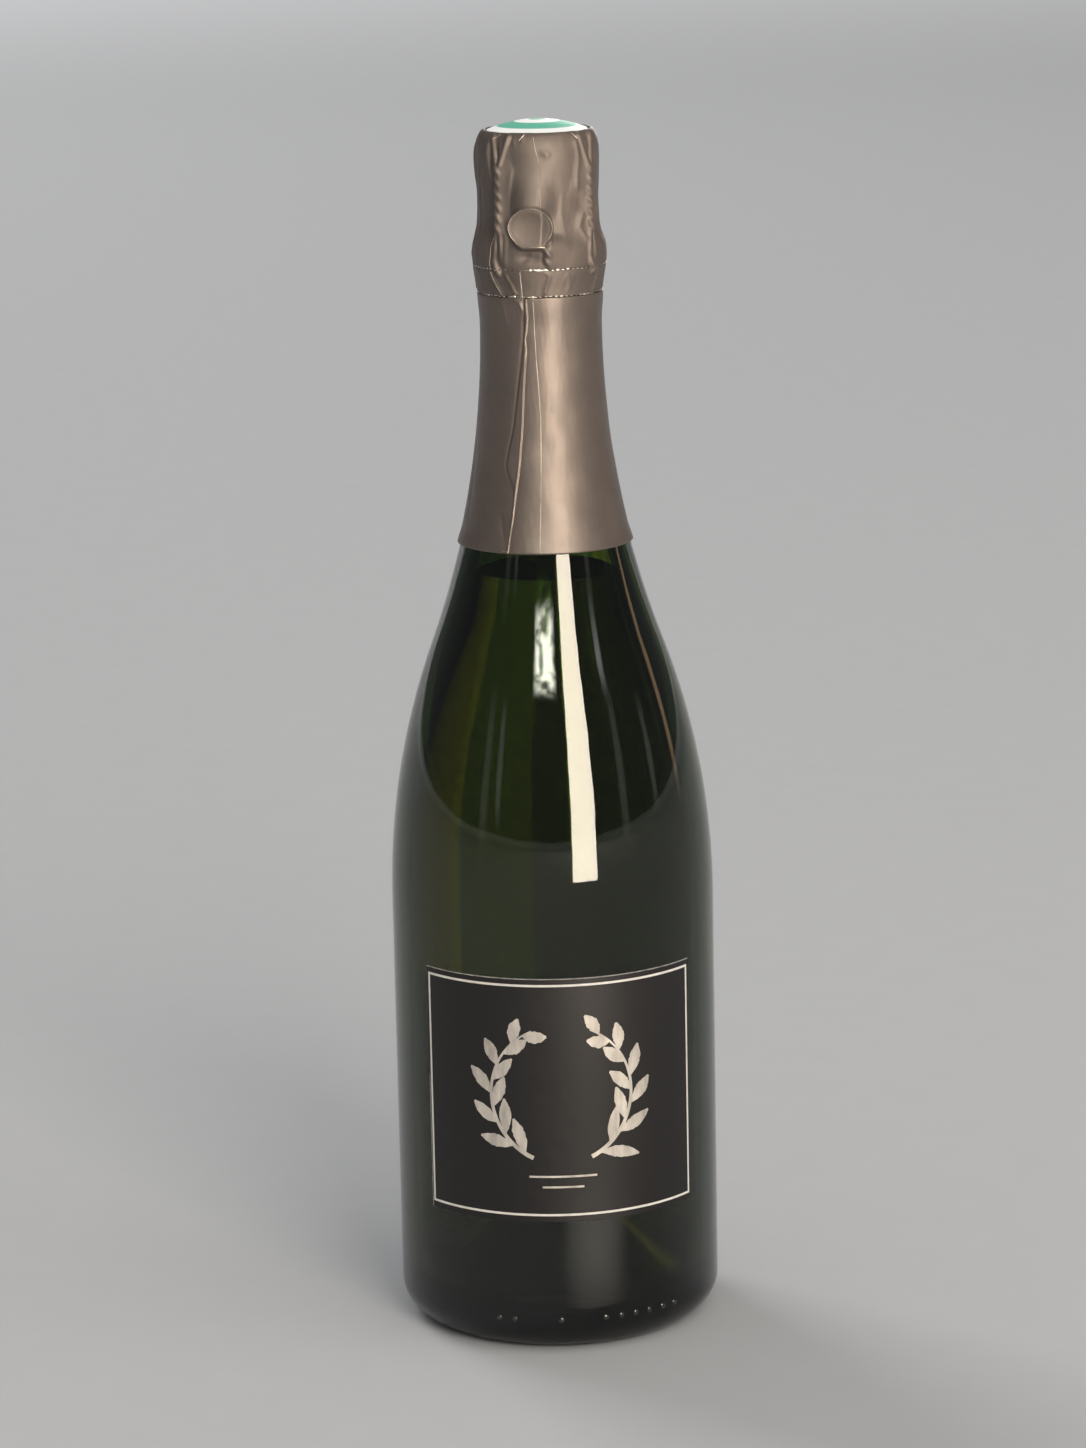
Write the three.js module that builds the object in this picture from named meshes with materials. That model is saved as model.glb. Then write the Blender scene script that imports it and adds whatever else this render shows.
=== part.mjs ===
// Sparkling wine bottle: glass, wine, cork, cap plate, wire cage, foil capsule and front label.
// Millimetres, +Z up, origin at the centre of the standing ring, the label faces -Y.
// Azimuths are measured from the front, -Y, towards +X.
import * as THREE from 'three';

// Glass body
const bodyRadius = 43.25;
const bodyWall = 5;
const heelRadius = 9;
const standingRing = 2.75;
const innerHeelRadius = 7;
const floorThickness = 9;
const puntDepth = 28;
const mouthHeight = 299;
const neckLength = 28.85;
const neckRadius = 15.5;
const neckSweepRadius = 244.5;
const shoulderRadius = 197.5;
const boreRadius = 9;

// Glass finish, its heights counted down from the mouth
const lipRadius = 14;
const lipHeight = 6.4;
const lipRounding = 0.9;
const beadRadius = 16.5;
const beadTopSlope = 1.8;
const beadBand = 2.2;
const beadUndercut = 3;
const grooveRadius = 14.6;
const grooveHeight = 2.6;

// Filling
const fillHeight = 205;

// Cork
const plugLength = 24;
const discThickness = 5.5;
const discChamfer = 0.6;
const corkHeadRadius = 15.3;
const corkHeadHeight = 19.6;
const corkUnderRounding = 4.5;
const corkTopRounding = 5;
const corkCrown = 1.4;

// Cap plate
const plateRadius = 14.6;
const plateThickness = 0.3;
const plateDomeRadius = 13.1;
const plateDomeRise = 2.6;
const plateStep = 1.3;
const plateLip = 0.9;

// Wires
const wireRadius = 0.475;
const strandGap = 0.2;
const legAzimuth = 52;
const legCount = 4;
const legTurns = 3;
const twistBottom = 4.1;
const twistLength = 17.6;
const ringRadius = 14.05;
const ringSpread = 2.5;
const beltDrop = 13.7;
const shankTurns = 1;
const shankLength = 5;
const eyeRadius = 4.2;
const eyeRise = 11;

// Foil capsule
const foilThickness = 0.2;
const beadSlack = 1;
const waistSlack = 0.5;
const headSlack = 1.1;
const hoodEdgeRise = 0.5;
const hoodHoleRadius = 13.5;
const stripHeight = 7.1;
const stripFoot = 0.9;
const skirtLength = 66.3;
const skirtFlare = 6.5;
const skirtFlareRise = 0.4;

// Front label
const labelWidth = 79.5;
const labelHeight = 66.6;
const labelBottom = 37.1;
const labelAzimuth = 1.7;
const labelThickness = 0.15;

// Clearances between pieces
const seatGap = 0.3;
const glueLine = 0.15;
const tearGap = 0.3;

// Facets
const glassSides = 36;
const corkSides = 28;
const wireSides = 5;

const radians = THREE.MathUtils.degToRad;
const degrees = THREE.MathUtils.radToDeg;

// Shared heights
const lipBottom = mouthHeight - lipHeight;
const beadTop = lipBottom - beadTopSlope;
const beadLow = beadTop - beadBand;
const grooveTop = beadLow - beadUndercut;
const grooveBottom = grooveTop - grooveHeight;
const beltHeight = mouthHeight - beltDrop;
const corkShoulder = mouthHeight + corkHeadHeight;
const flangeTop = corkShoulder + seatGap + plateThickness;
const ringHeight = flangeTop + seatGap + wireRadius;
const strandOffset = wireRadius + strandGap / 2;
const ropeHalf = strandOffset + wireRadius;
const foilCover = seatGap + foilThickness;
const hoodEdge = beltHeight + hoodEdgeRise;
const stripBottom = hoodEdge - stripHeight;

// Value at a height, read off a table of [height, value] rows with straight lines between them
function along(table, height) {
  const last = table.length - 1;
  if (height <= table[0][0]) return table[0][1];
  if (height >= table[last][0]) return table[last][1];
  const i = table.findIndex((row) => row[0] >= height);
  const [lowHeight, lowValue] = table[i - 1];
  const [highHeight, highValue] = table[i];
  return THREE.MathUtils.mapLinear(height, lowHeight, highHeight, lowValue, highValue);
}

// Evenly spaced values, both ends included
function spaced(from, to, steps) {
  return Array.from({ length: steps + 1 }, (_, i) => from + ((to - from) * i) / steps);
}

// Points of an arc in the radius and height plane, angles in degrees from the outward direction
function arc(centreR, centreZ, radius, fromAngle, toAngle, steps) {
  return spaced(radians(fromAngle), radians(toAngle), steps).map(
    (a) => new THREE.Vector2(centreR + radius * Math.cos(a), centreZ + radius * Math.sin(a)),
  );
}

const at = (r, z) => new THREE.Vector2(r, z);

// Point at an azimuth in degrees, a radius and a height
function around(azimuth, r, z) {
  const a = radians(azimuth);
  return new THREE.Vector3(r * Math.sin(a), -r * Math.cos(a), z);
}

// Solid of revolution about Z
function revolve(profile, sides) {
  return new THREE.LatheGeometry(profile, sides).rotateX(Math.PI / 2);
}

// Sine of the slope where a convex and a concave arc that bridge a step in radius meet
function sweepSine(step, arcs) {
  return Math.sqrt(1 - (1 - step / arcs) ** 2);
}

// Height where the straight side ends, counted down from the mouth over the neck and the shoulder
const sweepArcs = shoulderRadius + neckSweepRadius;
const shoulderStart = mouthHeight - neckLength - sweepArcs * sweepSine(bodyRadius - neckRadius, sweepArcs);

// Outline of body, shoulder and neck: a straight side, a convex arc and a concave arc, all tangent
function sweepOutline(wide, narrow, convex, concave) {
  const sine = sweepSine(wide - narrow, convex + concave);
  const join = shoulderStart + convex * sine;
  const top = shoulderStart + (convex + concave) * sine;
  const radiusAt = (z) => {
    if (z <= shoulderStart) return wide;
    if (z <= join) return wide - convex + Math.sqrt(convex ** 2 - (z - shoulderStart) ** 2);
    if (z <= top) return narrow + concave - Math.sqrt(concave ** 2 - (top - z) ** 2);
    return narrow;
  };
  return { wide, narrow, top, radiusAt };
}

const outside = sweepOutline(bodyRadius, neckRadius, shoulderRadius, neckSweepRadius);
const inside = sweepOutline(
  bodyRadius - bodyWall,
  boreRadius,
  shoulderRadius - bodyWall,
  neckSweepRadius + neckRadius - boreRadius,
);

// Bell-shaped punt: its points from the axis out to a radius, lifted by the floor's thickness
function puntPoints(radius, lift) {
  const steps = 6;
  return spaced(0, radius, steps).map((r) =>
    at(r, lift + puntDepth * (0.5 + 0.5 * Math.cos((Math.PI * r) / radius))),
  );
}

// Inner wall from the punt's tip up to a height, drawn in by a gap
function innerWall(topHeight, gap, steps) {
  const wallRadius = inside.wide - gap;
  const floor = floorThickness + gap;
  const round = innerHeelRadius - gap;
  return [
    ...puntPoints(wallRadius - round, floor),
    ...arc(wallRadius - round, floor + round, round, -90, 0, 4).slice(1),
    ...spaced(shoulderStart, topHeight, steps).map((z) => at(inside.radiusAt(z) - gap, z)),
  ];
}

function bottleGlass() {
  const ringOuter = bodyRadius - heelRadius;
  const boreTop = mouthHeight - lipRounding;
  const shoulderSteps = 10;
  const outer = [
    ...puntPoints(ringOuter - standingRing, 0),
    ...arc(ringOuter, heelRadius, heelRadius, -90, 0, 4),
    ...spaced(shoulderStart, outside.top, shoulderSteps).map((z) => at(outside.radiusAt(z), z)),
  ];
  const finish = [
    at(grooveRadius, grooveBottom),
    at(grooveRadius, grooveTop),
    at(beadRadius, beadLow),
    at(beadRadius, beadTop),
    at(lipRadius, lipBottom),
    ...arc(lipRadius - lipRounding, boreTop, lipRounding, 0, 90, 2),
    ...arc(boreRadius + lipRounding, boreTop, lipRounding, 90, 180, 2),
  ];
  const inner = innerWall(inside.top, 0, shoulderSteps).reverse();
  return revolve([...outer, ...finish, ...inner], glassSides);
}

function wine() {
  const shoulderSteps = 6;
  const surface = at(0, fillHeight);
  return revolve([...innerWall(fillHeight, seatGap, shoulderSteps), surface], glassSides);
}

const plugRadius = boreRadius - seatGap;
const plugBottom = mouthHeight - plugLength;

// One glued disc of natural cork, counted up from the plug's lower end
function corkDisc(index, chamfer) {
  const low = plugBottom + index * (discThickness + glueLine);
  const high = low + discThickness;
  const profile = [
    at(0, low),
    at(plugRadius - chamfer, low),
    at(plugRadius, low + chamfer),
    at(plugRadius, high),
    at(0, high),
  ];
  return revolve(profile, corkSides);
}

// Mushroom cork: squeezed plug, head swollen over the lip, rounded and crowned under the plate
function corkBody() {
  const discCount = 2;
  const low = plugBottom + discCount * (discThickness + glueLine);
  const under = mouthHeight + seatGap;
  const crownSteps = 3;
  const topRadius = corkHeadRadius - corkTopRounding;
  const crown = spaced(topRadius, 0, crownSteps).map((r) =>
    at(r, corkShoulder + corkCrown * (1 - (r / topRadius) ** 2)),
  );
  const profile = [
    at(0, low),
    at(plugRadius, low),
    at(plugRadius, under),
    ...arc(corkHeadRadius - corkUnderRounding, under + corkUnderRounding, corkUnderRounding, -90, 0, 4),
    ...arc(topRadius, corkShoulder - corkTopRounding, corkTopRounding, 0, 90, 4).slice(0, -1),
    ...crown,
  ];
  return revolve(profile, corkSides);
}

// Domed tinplate disc with a pressed step, a flange for the cage's ring and a lip turned down
function capPlate() {
  const domeEdge = flangeTop + plateStep;
  const domeSteps = 4;
  const dome = spaced(0, plateDomeRadius, domeSteps).map((r) =>
    at(r, domeEdge + plateDomeRise * (1 - (r / plateDomeRadius) ** 2)),
  );
  const top = [
    ...dome,
    at(plateDomeRadius + plateThickness, flangeTop),
    at(plateRadius - plateThickness, flangeTop),
    at(plateRadius, flangeTop - plateThickness),
    at(plateRadius, flangeTop - plateLip),
  ];
  const under = [
    at(plateRadius - plateThickness, flangeTop - plateLip),
    at(plateRadius - plateThickness, flangeTop - plateThickness),
    at(plateDomeRadius, flangeTop - plateThickness),
    ...dome.map((p) => at(p.x * (1 - plateThickness / plateDomeRadius), p.y - plateThickness)).reverse(),
  ];
  return revolve([...under.reverse(), ...top.reverse()], corkSides);
}

// One unbroken wire through closed points
function closedWire(points) {
  const path = new THREE.CatmullRomCurve3(points, true);
  path.getUtoTmapping = (u) => u;
  return new THREE.TubeGeometry(path, points.length, wireRadius, wireSides, true);
}

// Twisted leg of the cage: axis radius, half spread and turn of its two strands by height
const overBead = beadRadius + seatGap + wireRadius;
const overCork = corkHeadRadius + seatGap + ropeHalf;
const overLip = plateRadius + seatGap + wireRadius;
const footInner = grooveRadius + seatGap + wireRadius;
const footHalf = 2 * wireRadius + strandGap;
const footRadius = footInner + footHalf;
const twistLow = lipBottom - beadTopSlope + twistBottom;
const twistHigh = twistLow + twistLength;
const quarterTurn = 0.25;
const lipUnder = flangeTop - plateLip;

const legAxis = [
  [beltHeight, footRadius],
  [beadLow, overBead],
  [beadTop, overBead],
  [mouthHeight + corkUnderRounding, overCork],
  [twistHigh, overCork],
  [lipUnder, overLip + wireRadius / 2],
  [ringHeight - wireRadius, overLip],
];
const legSpread = [
  [beltHeight, footHalf],
  [beadLow, footHalf],
  [twistLow, strandOffset],
  [twistHigh, strandOffset],
  [ringHeight, ringSpread],
];
const legTurn = [
  [beltHeight, -quarterTurn],
  [beadLow, 0],
  [twistLow, 0],
  [twistHigh, legTurns],
];

// Point of one strand of a twisted pair, side +1 or -1, about an axis at an azimuth
function strandPoint(azimuth, side, z, axis, spread, turn) {
  const angle = 2 * Math.PI * turn;
  const across = side * spread * Math.cos(angle);
  const outward = side * spread * Math.sin(angle);
  return around(azimuth + degrees(across / axis), axis + outward, z);
}

function legStrand(azimuth, side, heights) {
  return heights.map((z) =>
    strandPoint(azimuth, side, z, along(legAxis, z), along(legSpread, z), along(legTurn, z)),
  );
}

// Cage: an arc on the plate's flange, down one strand, round the foot and up the other, leg by leg
function cageWire() {
  const stepsPerTurn = 8;
  const heights = [
    ...spaced(ringHeight - wireRadius, twistHigh, 3).slice(0, -1),
    ...spaced(twistHigh, twistLow, legTurns * stepsPerTurn).slice(0, -1),
    ...spaced(twistLow, beadLow, 3).slice(0, -1),
    ...spaced(beadLow, beltHeight, 4),
  ];
  const legAngle = 360 / legCount;
  const arcInset = degrees(ringSpread / ringRadius);
  const points = [];
  for (let leg = 0; leg < legCount; leg += 1) {
    const azimuth = legAzimuth + leg * legAngle;
    const foot = spaced(0, 180, 6)
      .slice(1, -1)
      .map((turn) => {
        const r = footRadius + footHalf * Math.cos(radians(turn));
        return around(azimuth, r, beltHeight - footHalf * Math.sin(radians(turn)));
      });
    const ring = spaced(azimuth + arcInset, azimuth + legAngle - arcInset, 7);
    points.push(...legStrand(azimuth, -1, heights));
    points.push(...foot);
    points.push(...legStrand(azimuth, 1, heights).reverse());
    points.push(...ring.map((a) => around(a, ringRadius, ringHeight)));
  }
  return closedWire(points);
}

// Belt: tucked under the bead, drawn out at the feet, its ends twisted to a shank with an eye
const beltRest = footInner;
const shankAzimuth = legAzimuth - 180 / legCount;
const shankLow = beltHeight + 2 * wireRadius;
const shankHigh = shankLow + shankLength;
const eyeCentre = beltHeight + eyeRise;
const overBeadRope = beadRadius + seatGap + ropeHalf;
const eyeAxis = overBeadRope - wireRadius / 2;
const shankAxis = [
  [shankLow, beltRest + ropeHalf],
  [beadLow, overBeadRope],
  [shankHigh, overBeadRope],
  [eyeCentre, eyeAxis],
];
const shankTurn = [
  [shankLow, 0],
  [shankHigh, shankTurns],
];
const eyeAcross = strandOffset - eyeRadius;
const eyeAzimuth = shankAzimuth + degrees(eyeAcross / eyeAxis);

function beltRadius(azimuth) {
  const pull = 0.5 + 0.5 * Math.cos(legCount * radians(azimuth - legAzimuth));
  return beltRest + (footRadius - beltRest) * pull ** 3;
}

function beltWire() {
  const shankSteps = 10;
  const shank = (side) =>
    spaced(shankLow, shankHigh, shankSteps).map((z) =>
      strandPoint(shankAzimuth, side, z, along(shankAxis, z), strandOffset, along(shankTurn, z)),
    );
  const onEye = (across, z) =>
    around(shankAzimuth + degrees(across / eyeAxis), along(shankAxis, z), z);
  const eye = spaced(0, 270, 14).map((turn) =>
    onEye(eyeAcross + eyeRadius * Math.cos(radians(turn)), eyeCentre + eyeRadius * Math.sin(radians(turn))),
  );
  const beltStart = degrees((3 * strandOffset) / beltRest);
  const belt = spaced(shankAzimuth - beltStart, shankAzimuth + beltStart - 360, 44).map((a) =>
    around(a, beltRadius(a), beltHeight),
  );
  return closedWire([...shank(1), ...eye, ...shank(-1).reverse(), ...belt]);
}

// Thin wrap round the axis: outer radius by azimuth and height, the foil's thickness inside it
function wrapShell(columns, heights, radiusAt) {
  const outer = [];
  const inner = [];
  heights.forEach((z, row) => {
    const below = heights[Math.max(row - 1, 0)];
    const above = heights[Math.min(row + 1, heights.length - 1)];
    columns.forEach((azimuth) => {
      const r = radiusAt(azimuth, z);
      const slope = (radiusAt(azimuth, above) - radiusAt(azimuth, below)) / (above - below);
      const length = Math.hypot(1, slope);
      outer.push(around(azimuth, r, z));
      inner.push(around(azimuth, r - foilThickness / length, z + (foilThickness * slope) / length));
    });
  });
  const across = columns.length;
  const innerStart = outer.length;
  const triangles = [];
  const quad = (a, b, c, d) => triangles.push(a, b, c, a, c, d);
  for (let row = 0; row < heights.length; row += 1) {
    for (let column = 0; column < across; column += 1) {
      const here = row * across + column;
      const beside = row * across + ((column + 1) % across);
      if (row === 0) quad(here, innerStart + here, innerStart + beside, beside);
      if (row === heights.length - 1) {
        quad(here, beside, innerStart + beside, innerStart + here);
      } else {
        quad(here, beside, beside + across, here + across);
        quad(innerStart + here, innerStart + here + across, innerStart + beside + across, innerStart + beside);
      }
    }
  }
  const geometry = new THREE.BufferGeometry().setFromPoints([...outer, ...inner]);
  return geometry.setIndex(triangles);
}

// Columns of the wraps: close together at the legs and round the eye, wider apart elsewhere
const columnStep = 5;
function wrapColumns() {
  const legAngle = 360 / legCount;
  const columns = [];
  for (let leg = 0; leg < legCount; leg += 1) {
    const azimuth = legAzimuth + leg * legAngle;
    const nearSide = 2 * columnStep;
    const isFront = leg === legCount - 1;
    const between = isFront ? (legAngle - 2 * nearSide) / columnStep : 3;
    columns.push(...spaced(azimuth - nearSide, azimuth + nearSide, 4));
    columns.push(...spaced(azimuth + nearSide, azimuth + legAngle - nearSide, between).slice(1, -1));
  }
  return columns;
}

// Azimuth difference in degrees, between -180 and 180
function apart(a, b) {
  return THREE.MathUtils.euclideanModulo(a - b + 180, 360) - 180;
}

function nearestLeg(azimuth) {
  const legAngle = 360 / legCount;
  return apart(azimuth * legCount, legAzimuth * legCount) / 360 * legAngle;
}

// Radius of foil laid over a leg, the shank or the eye at a place, or 0 where none lies under it
const coverMargin = 0.7;
const eyeMargin = 1.7;
function legCover(azimuth, z) {
  const axis = along(legAxis, z);
  const spread = along(legSpread, z);
  const turn = 2 * Math.PI * along(legTurn, z);
  const isRope = z > twistLow - coverMargin && z <= twistHigh + coverMargin;
  const outward = isRope ? spread : Math.abs(spread * Math.sin(turn));
  const reach = spread + wireRadius + coverMargin;
  const offset = Math.abs(radians(nearestLeg(azimuth))) * axis;
  return offset <= reach ? axis + outward + wireRadius + foilCover : 0;
}

function eyeCover(azimuth, z) {
  const shankOffset = Math.abs(radians(apart(azimuth, shankAzimuth))) * overBeadRope;
  const isShank = z < eyeCentre && shankOffset <= ropeHalf + coverMargin;
  if (isShank) return along(shankAxis, z) + ropeHalf + foilCover;
  const across = radians(apart(azimuth, eyeAzimuth)) * eyeAxis;
  const reach = eyeRadius + wireRadius + eyeMargin;
  const isEye = Math.hypot(across, z - eyeCentre) <= reach;
  return isEye ? eyeAxis + wireRadius + foilCover : 0;
}

// Hood: drawn in above the bead and under the cork's head, rolled over the cage's ring at the top
const beadFoil = beadRadius + beadSlack + foilThickness;
const ringCover = wireRadius + foilCover;
const hoodTop = ringHeight + ringCover;
const hoodSide = [
  [hoodEdge, beadFoil - foilThickness],
  [beadLow, beadFoil],
  [beadTop - beadTopSlope / 2, beadFoil],
  [mouthHeight - lipRounding, corkHeadRadius + waistSlack + foilThickness],
  [mouthHeight + corkUnderRounding, corkHeadRadius + waistSlack + foilThickness],
  [mouthHeight + corkHeadHeight / 2, corkHeadRadius + headSlack + foilThickness],
  [corkShoulder - corkTopRounding, corkHeadRadius + headSlack + foilThickness],
  [flangeTop - plateLip, overLip + wireRadius + foilCover],
  [ringHeight, ringRadius + ringCover],
  [ringHeight + ringCover * Math.SQRT1_2, ringRadius + ringCover * Math.SQRT1_2],
  [hoodTop, ringRadius],
  [hoodTop + foilThickness, hoodHoleRadius],
];

function foilHood() {
  const eyeReach = eyeRadius + wireRadius;
  const heights = [
    hoodEdge,
    hoodEdge + hoodEdgeRise,
    beadLow,
    eyeCentre - eyeReach - eyeMargin,
    ...spaced(eyeCentre - eyeReach, eyeCentre + eyeReach, 4),
    eyeCentre + eyeReach + eyeMargin,
    mouthHeight + corkHeadHeight / 2,
    twistHigh + coverMargin,
    flangeTop - plateLip,
    ringHeight,
    ringHeight + ringCover * Math.SQRT1_2,
    hoodTop,
    hoodTop + foilThickness,
  ];
  const radiusAt = (azimuth, z) =>
    Math.max(along(hoodSide, z), z <= ringHeight ? legCover(azimuth, z) : 0, eyeCover(azimuth, z));
  return wrapShell(wrapColumns(), heights, radiusAt);
}

// Tear strip: between the two rows of perforations, lifted where the cage's feet lie under it
const skirtTopRadius = neckRadius + foilCover + skirtFlareRise;
const stripSide = [
  [stripBottom, skirtTopRadius],
  [hoodEdge, beadFoil - foilThickness],
];

function tearStrip() {
  const footLow = beltHeight - footHalf - wireRadius - seatGap;
  const heights = [stripBottom + tearGap, footLow - stripFoot, footLow, beltHeight, hoodEdge - tearGap];
  const footCover = footRadius + footHalf + wireRadius + foilCover;
  const radiusAt = (azimuth, z) => {
    const offset = Math.abs(radians(nearestLeg(azimuth))) * footRadius;
    const isFoot = z >= footLow && offset <= footHalf + wireRadius;
    return Math.max(along(stripSide, z), isFoot ? footCover : 0);
  };
  return wrapShell(wrapColumns(), heights, radiusAt);
}

// Skirt: follows the neck, and flares under the strip
function foilSkirt() {
  const flareStart = stripBottom - skirtFlare;
  const flare = [
    [flareStart, 0],
    [stripBottom, skirtFlareRise],
  ];
  const heights = [...spaced(stripBottom - skirtLength, flareStart, 6), stripBottom];
  const radiusAt = (z) => outside.radiusAt(z) + seatGap + along(flare, z);
  const inner = heights.map((z) => at(radiusAt(z), z));
  const outer = heights.map((z) => at(radiusAt(z) + foilThickness, z));
  return revolve([...outer, ...inner.reverse(), outer[0]], glassSides);
}

// Paper label: an arc of sheet on the straight part of the body
function frontLabel() {
  const innerRadius = bodyRadius + glueLine;
  const outerRadius = innerRadius + labelThickness;
  const middle = radians(labelAzimuth - 90);
  const half = labelWidth / innerRadius / 2;
  const outline = new THREE.Shape();
  outline.absarc(0, 0, outerRadius, middle - half, middle + half, false);
  outline.absarc(0, 0, innerRadius, middle + half, middle - half, true);
  const options = { depth: labelHeight, bevelEnabled: false, curveSegments: 10 };
  return new THREE.ExtrudeGeometry(outline, options).translate(0, 0, labelBottom);
}

// Pieces and their finishes
const bottle = new THREE.Group();
bottle.name = 'sparkling_wine_bottle';

function addPiece(name, geometry, color, roughness, metalness) {
  const material = new THREE.MeshStandardMaterial({ color, roughness, metalness });
  const mesh = new THREE.Mesh(geometry, material);
  mesh.name = name;
  bottle.add(mesh);
}

addPiece('bottle_glass', bottleGlass(), 0x10180e, 0.08, 0);
addPiece('wine', wine(), 0xb9a05a, 0.05, 0);
addPiece('cork_body', corkBody(), 0xc8a070, 0.9, 0);
addPiece('cork_disc_upper', corkDisc(1, 0), 0xb98d5d, 0.9, 0);
addPiece('cork_disc_lower', corkDisc(0, discChamfer), 0xb98d5d, 0.9, 0);
addPiece('cap_plate', capPlate(), 0x64bea0, 0.35, 0.2);
addPiece('cage_wire', cageWire(), 0xa8a6a0, 0.3, 1);
addPiece('belt_wire', beltWire(), 0xa8a6a0, 0.3, 1);
addPiece('foil_hood', foilHood(), 0x544b45, 0.4, 0.9);
addPiece('tear_strip', tearStrip(), 0x544b45, 0.4, 0.9);
addPiece('foil_skirt', foilSkirt(), 0x544b45, 0.35, 0.9);
addPiece('front_label', frontLabel(), 0x262021, 0.8, 0);

export default bottle;
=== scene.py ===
import math
import bmesh
import bpy
import numpy as np
from mathutils import Matrix, Vector


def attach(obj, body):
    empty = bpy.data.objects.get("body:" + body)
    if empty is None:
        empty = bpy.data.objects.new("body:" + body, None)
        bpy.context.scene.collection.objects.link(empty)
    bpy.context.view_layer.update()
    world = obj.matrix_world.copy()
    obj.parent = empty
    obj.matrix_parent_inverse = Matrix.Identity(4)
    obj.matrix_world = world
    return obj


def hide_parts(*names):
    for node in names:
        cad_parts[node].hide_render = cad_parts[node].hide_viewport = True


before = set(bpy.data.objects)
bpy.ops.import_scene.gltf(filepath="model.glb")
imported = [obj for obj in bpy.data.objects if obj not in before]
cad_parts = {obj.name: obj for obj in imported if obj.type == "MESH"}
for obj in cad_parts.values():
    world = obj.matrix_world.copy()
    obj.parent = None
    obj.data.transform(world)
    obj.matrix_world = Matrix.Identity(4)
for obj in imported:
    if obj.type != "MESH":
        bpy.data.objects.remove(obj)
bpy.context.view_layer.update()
print("frame:", len(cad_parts), "nodes")

mm = 0.001
scene = bpy.context.scene
scene.view_settings.view_transform = "Standard"

# camera: the photograph's place and angle, pixels of a 1086 x 1448 picture
view = {
    "distance": 1.1741, "height": 0.4276, "pitch": 0.2224, "roll": -0.021, "yaw": -0.0014,
    "focalPixels": 4504, "imageHeight": 1448, "sensorHeight": 36,
}


def makeCamera():
    pitch, roll, yaw = view["pitch"], view["roll"], view["yaw"]
    level = math.cos(pitch)
    forward = Vector((math.sin(yaw) * level, math.cos(yaw) * level, -math.sin(pitch)))
    right = Vector((math.cos(yaw), -math.sin(yaw), 0))
    up = right.cross(forward)
    across = math.cos(roll) * right + math.sin(roll) * up
    upright = math.cos(roll) * up - math.sin(roll) * right
    lens = bpy.data.cameras.new("photoCamera")
    lens.sensor_fit = "VERTICAL"
    lens.sensor_height = view["sensorHeight"]
    lens.lens = view["focalPixels"] * view["sensorHeight"] / view["imageHeight"]
    camera = bpy.data.objects.new("photoCamera", lens)
    turn = Matrix((across, upright, -forward)).transposed().to_4x4()
    camera.matrix_world = Matrix.Translation((0, -view["distance"], view["height"])) @ turn
    scene.collection.objects.link(camera)
    scene.camera = camera


makeCamera()
print("camera set")


# small tools: places, profiles and reliefs, all in millimetres and degrees from the front
def polar(azimuth, radius, height):  # places in metres
    angle = np.radians(azimuth)
    around = np.broadcast_arrays(radius * np.sin(angle), -radius * np.cos(angle), height)
    return np.stack(around, axis=-1) * mm


def angleGap(azimuth, centre):
    return (azimuth - centre + 180) % 360 - 180


def sideOf(azimuth, centre, radius):  # distance round a wrap from an azimuth
    return radius * np.radians(angleGap(azimuth, centre))


def smoothStep(low, high, value):
    t = np.clip((value - low) / (high - low), 0, 1)
    return t * t * (3 - 2 * t)


def within(value, rise, fall):  # 1 between two ramps, 0 outside them
    return smoothStep(*rise, value) * (1 - smoothStep(*fall, value))


def bell(offset, width):
    return np.exp(-(offset / width) ** 2)


def flatBell(offset, width, power):
    return np.exp(-np.abs(offset / width) ** power)


def crease(offset, width, edge=0.12):  # a fold with a narrow crest
    return np.exp(-(np.sqrt(offset * offset + edge * edge) - edge) / width)


def rowsAt(rows, heights):  # straight runs between [height, value] rows
    known, value = np.array(sorted(rows), float).T
    return np.interp(heights, known, value)


def smoothTable(rows, heights):  # smooth curve through [height, value] rows
    known, value = np.array(rows, float).T
    slope = np.gradient(value, known)
    i = np.clip(np.searchsorted(known, heights) - 1, 0, len(known) - 2)
    span = known[i + 1] - known[i]
    t = np.clip((heights - known[i]) / span, 0, 1)
    low = value[i] * (1 + 2 * t) * (1 - t) ** 2 + slope[i] * span * t * (1 - t) ** 2
    high = value[i + 1] * t * t * (3 - 2 * t) + slope[i + 1] * span * t * t * (t - 1)
    return low + high


def pathThrough(points, count):  # evenly spaced points on a smooth path through given ones
    points = np.array(points, float)
    run = np.concatenate([[0], np.cumsum(np.hypot(*np.diff(points, axis=0).T))])
    s = np.linspace(0, run[-1], count)
    return np.stack([smoothTable(np.stack([run, points[:, k]], axis=1), s) for k in (0, 1)], axis=1)


def arcPoints(centreR, centreZ, radius, fromAngle, toAngle, steps):
    a = np.radians(np.linspace(fromAngle, toAngle, steps + 1))
    return [(centreR + radius * math.cos(k), centreZ + radius * math.sin(k)) for k in a]


def roundCorners(points, radius, steps=5):  # corners of a profile drawn as short curves
    out, most = [points[0]], 0.45  # most: share of a side that one rounding may take
    for before, corner, after in zip(points, points[1:], points[2:]):
        a, b, c = (np.array(p, float) for p in (before, corner, after))
        reach = min(radius, most * np.linalg.norm(b - a), most * np.linalg.norm(c - b))
        start = b + (a - b) / np.linalg.norm(a - b) * reach
        end = b + (c - b) / np.linalg.norm(c - b) * reach
        for t in np.linspace(0, 1, steps + 1):
            out.append(tuple((1 - t) ** 2 * start + 2 * t * (1 - t) * b + t * t * end))
    return out + [points[-1]]


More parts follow.
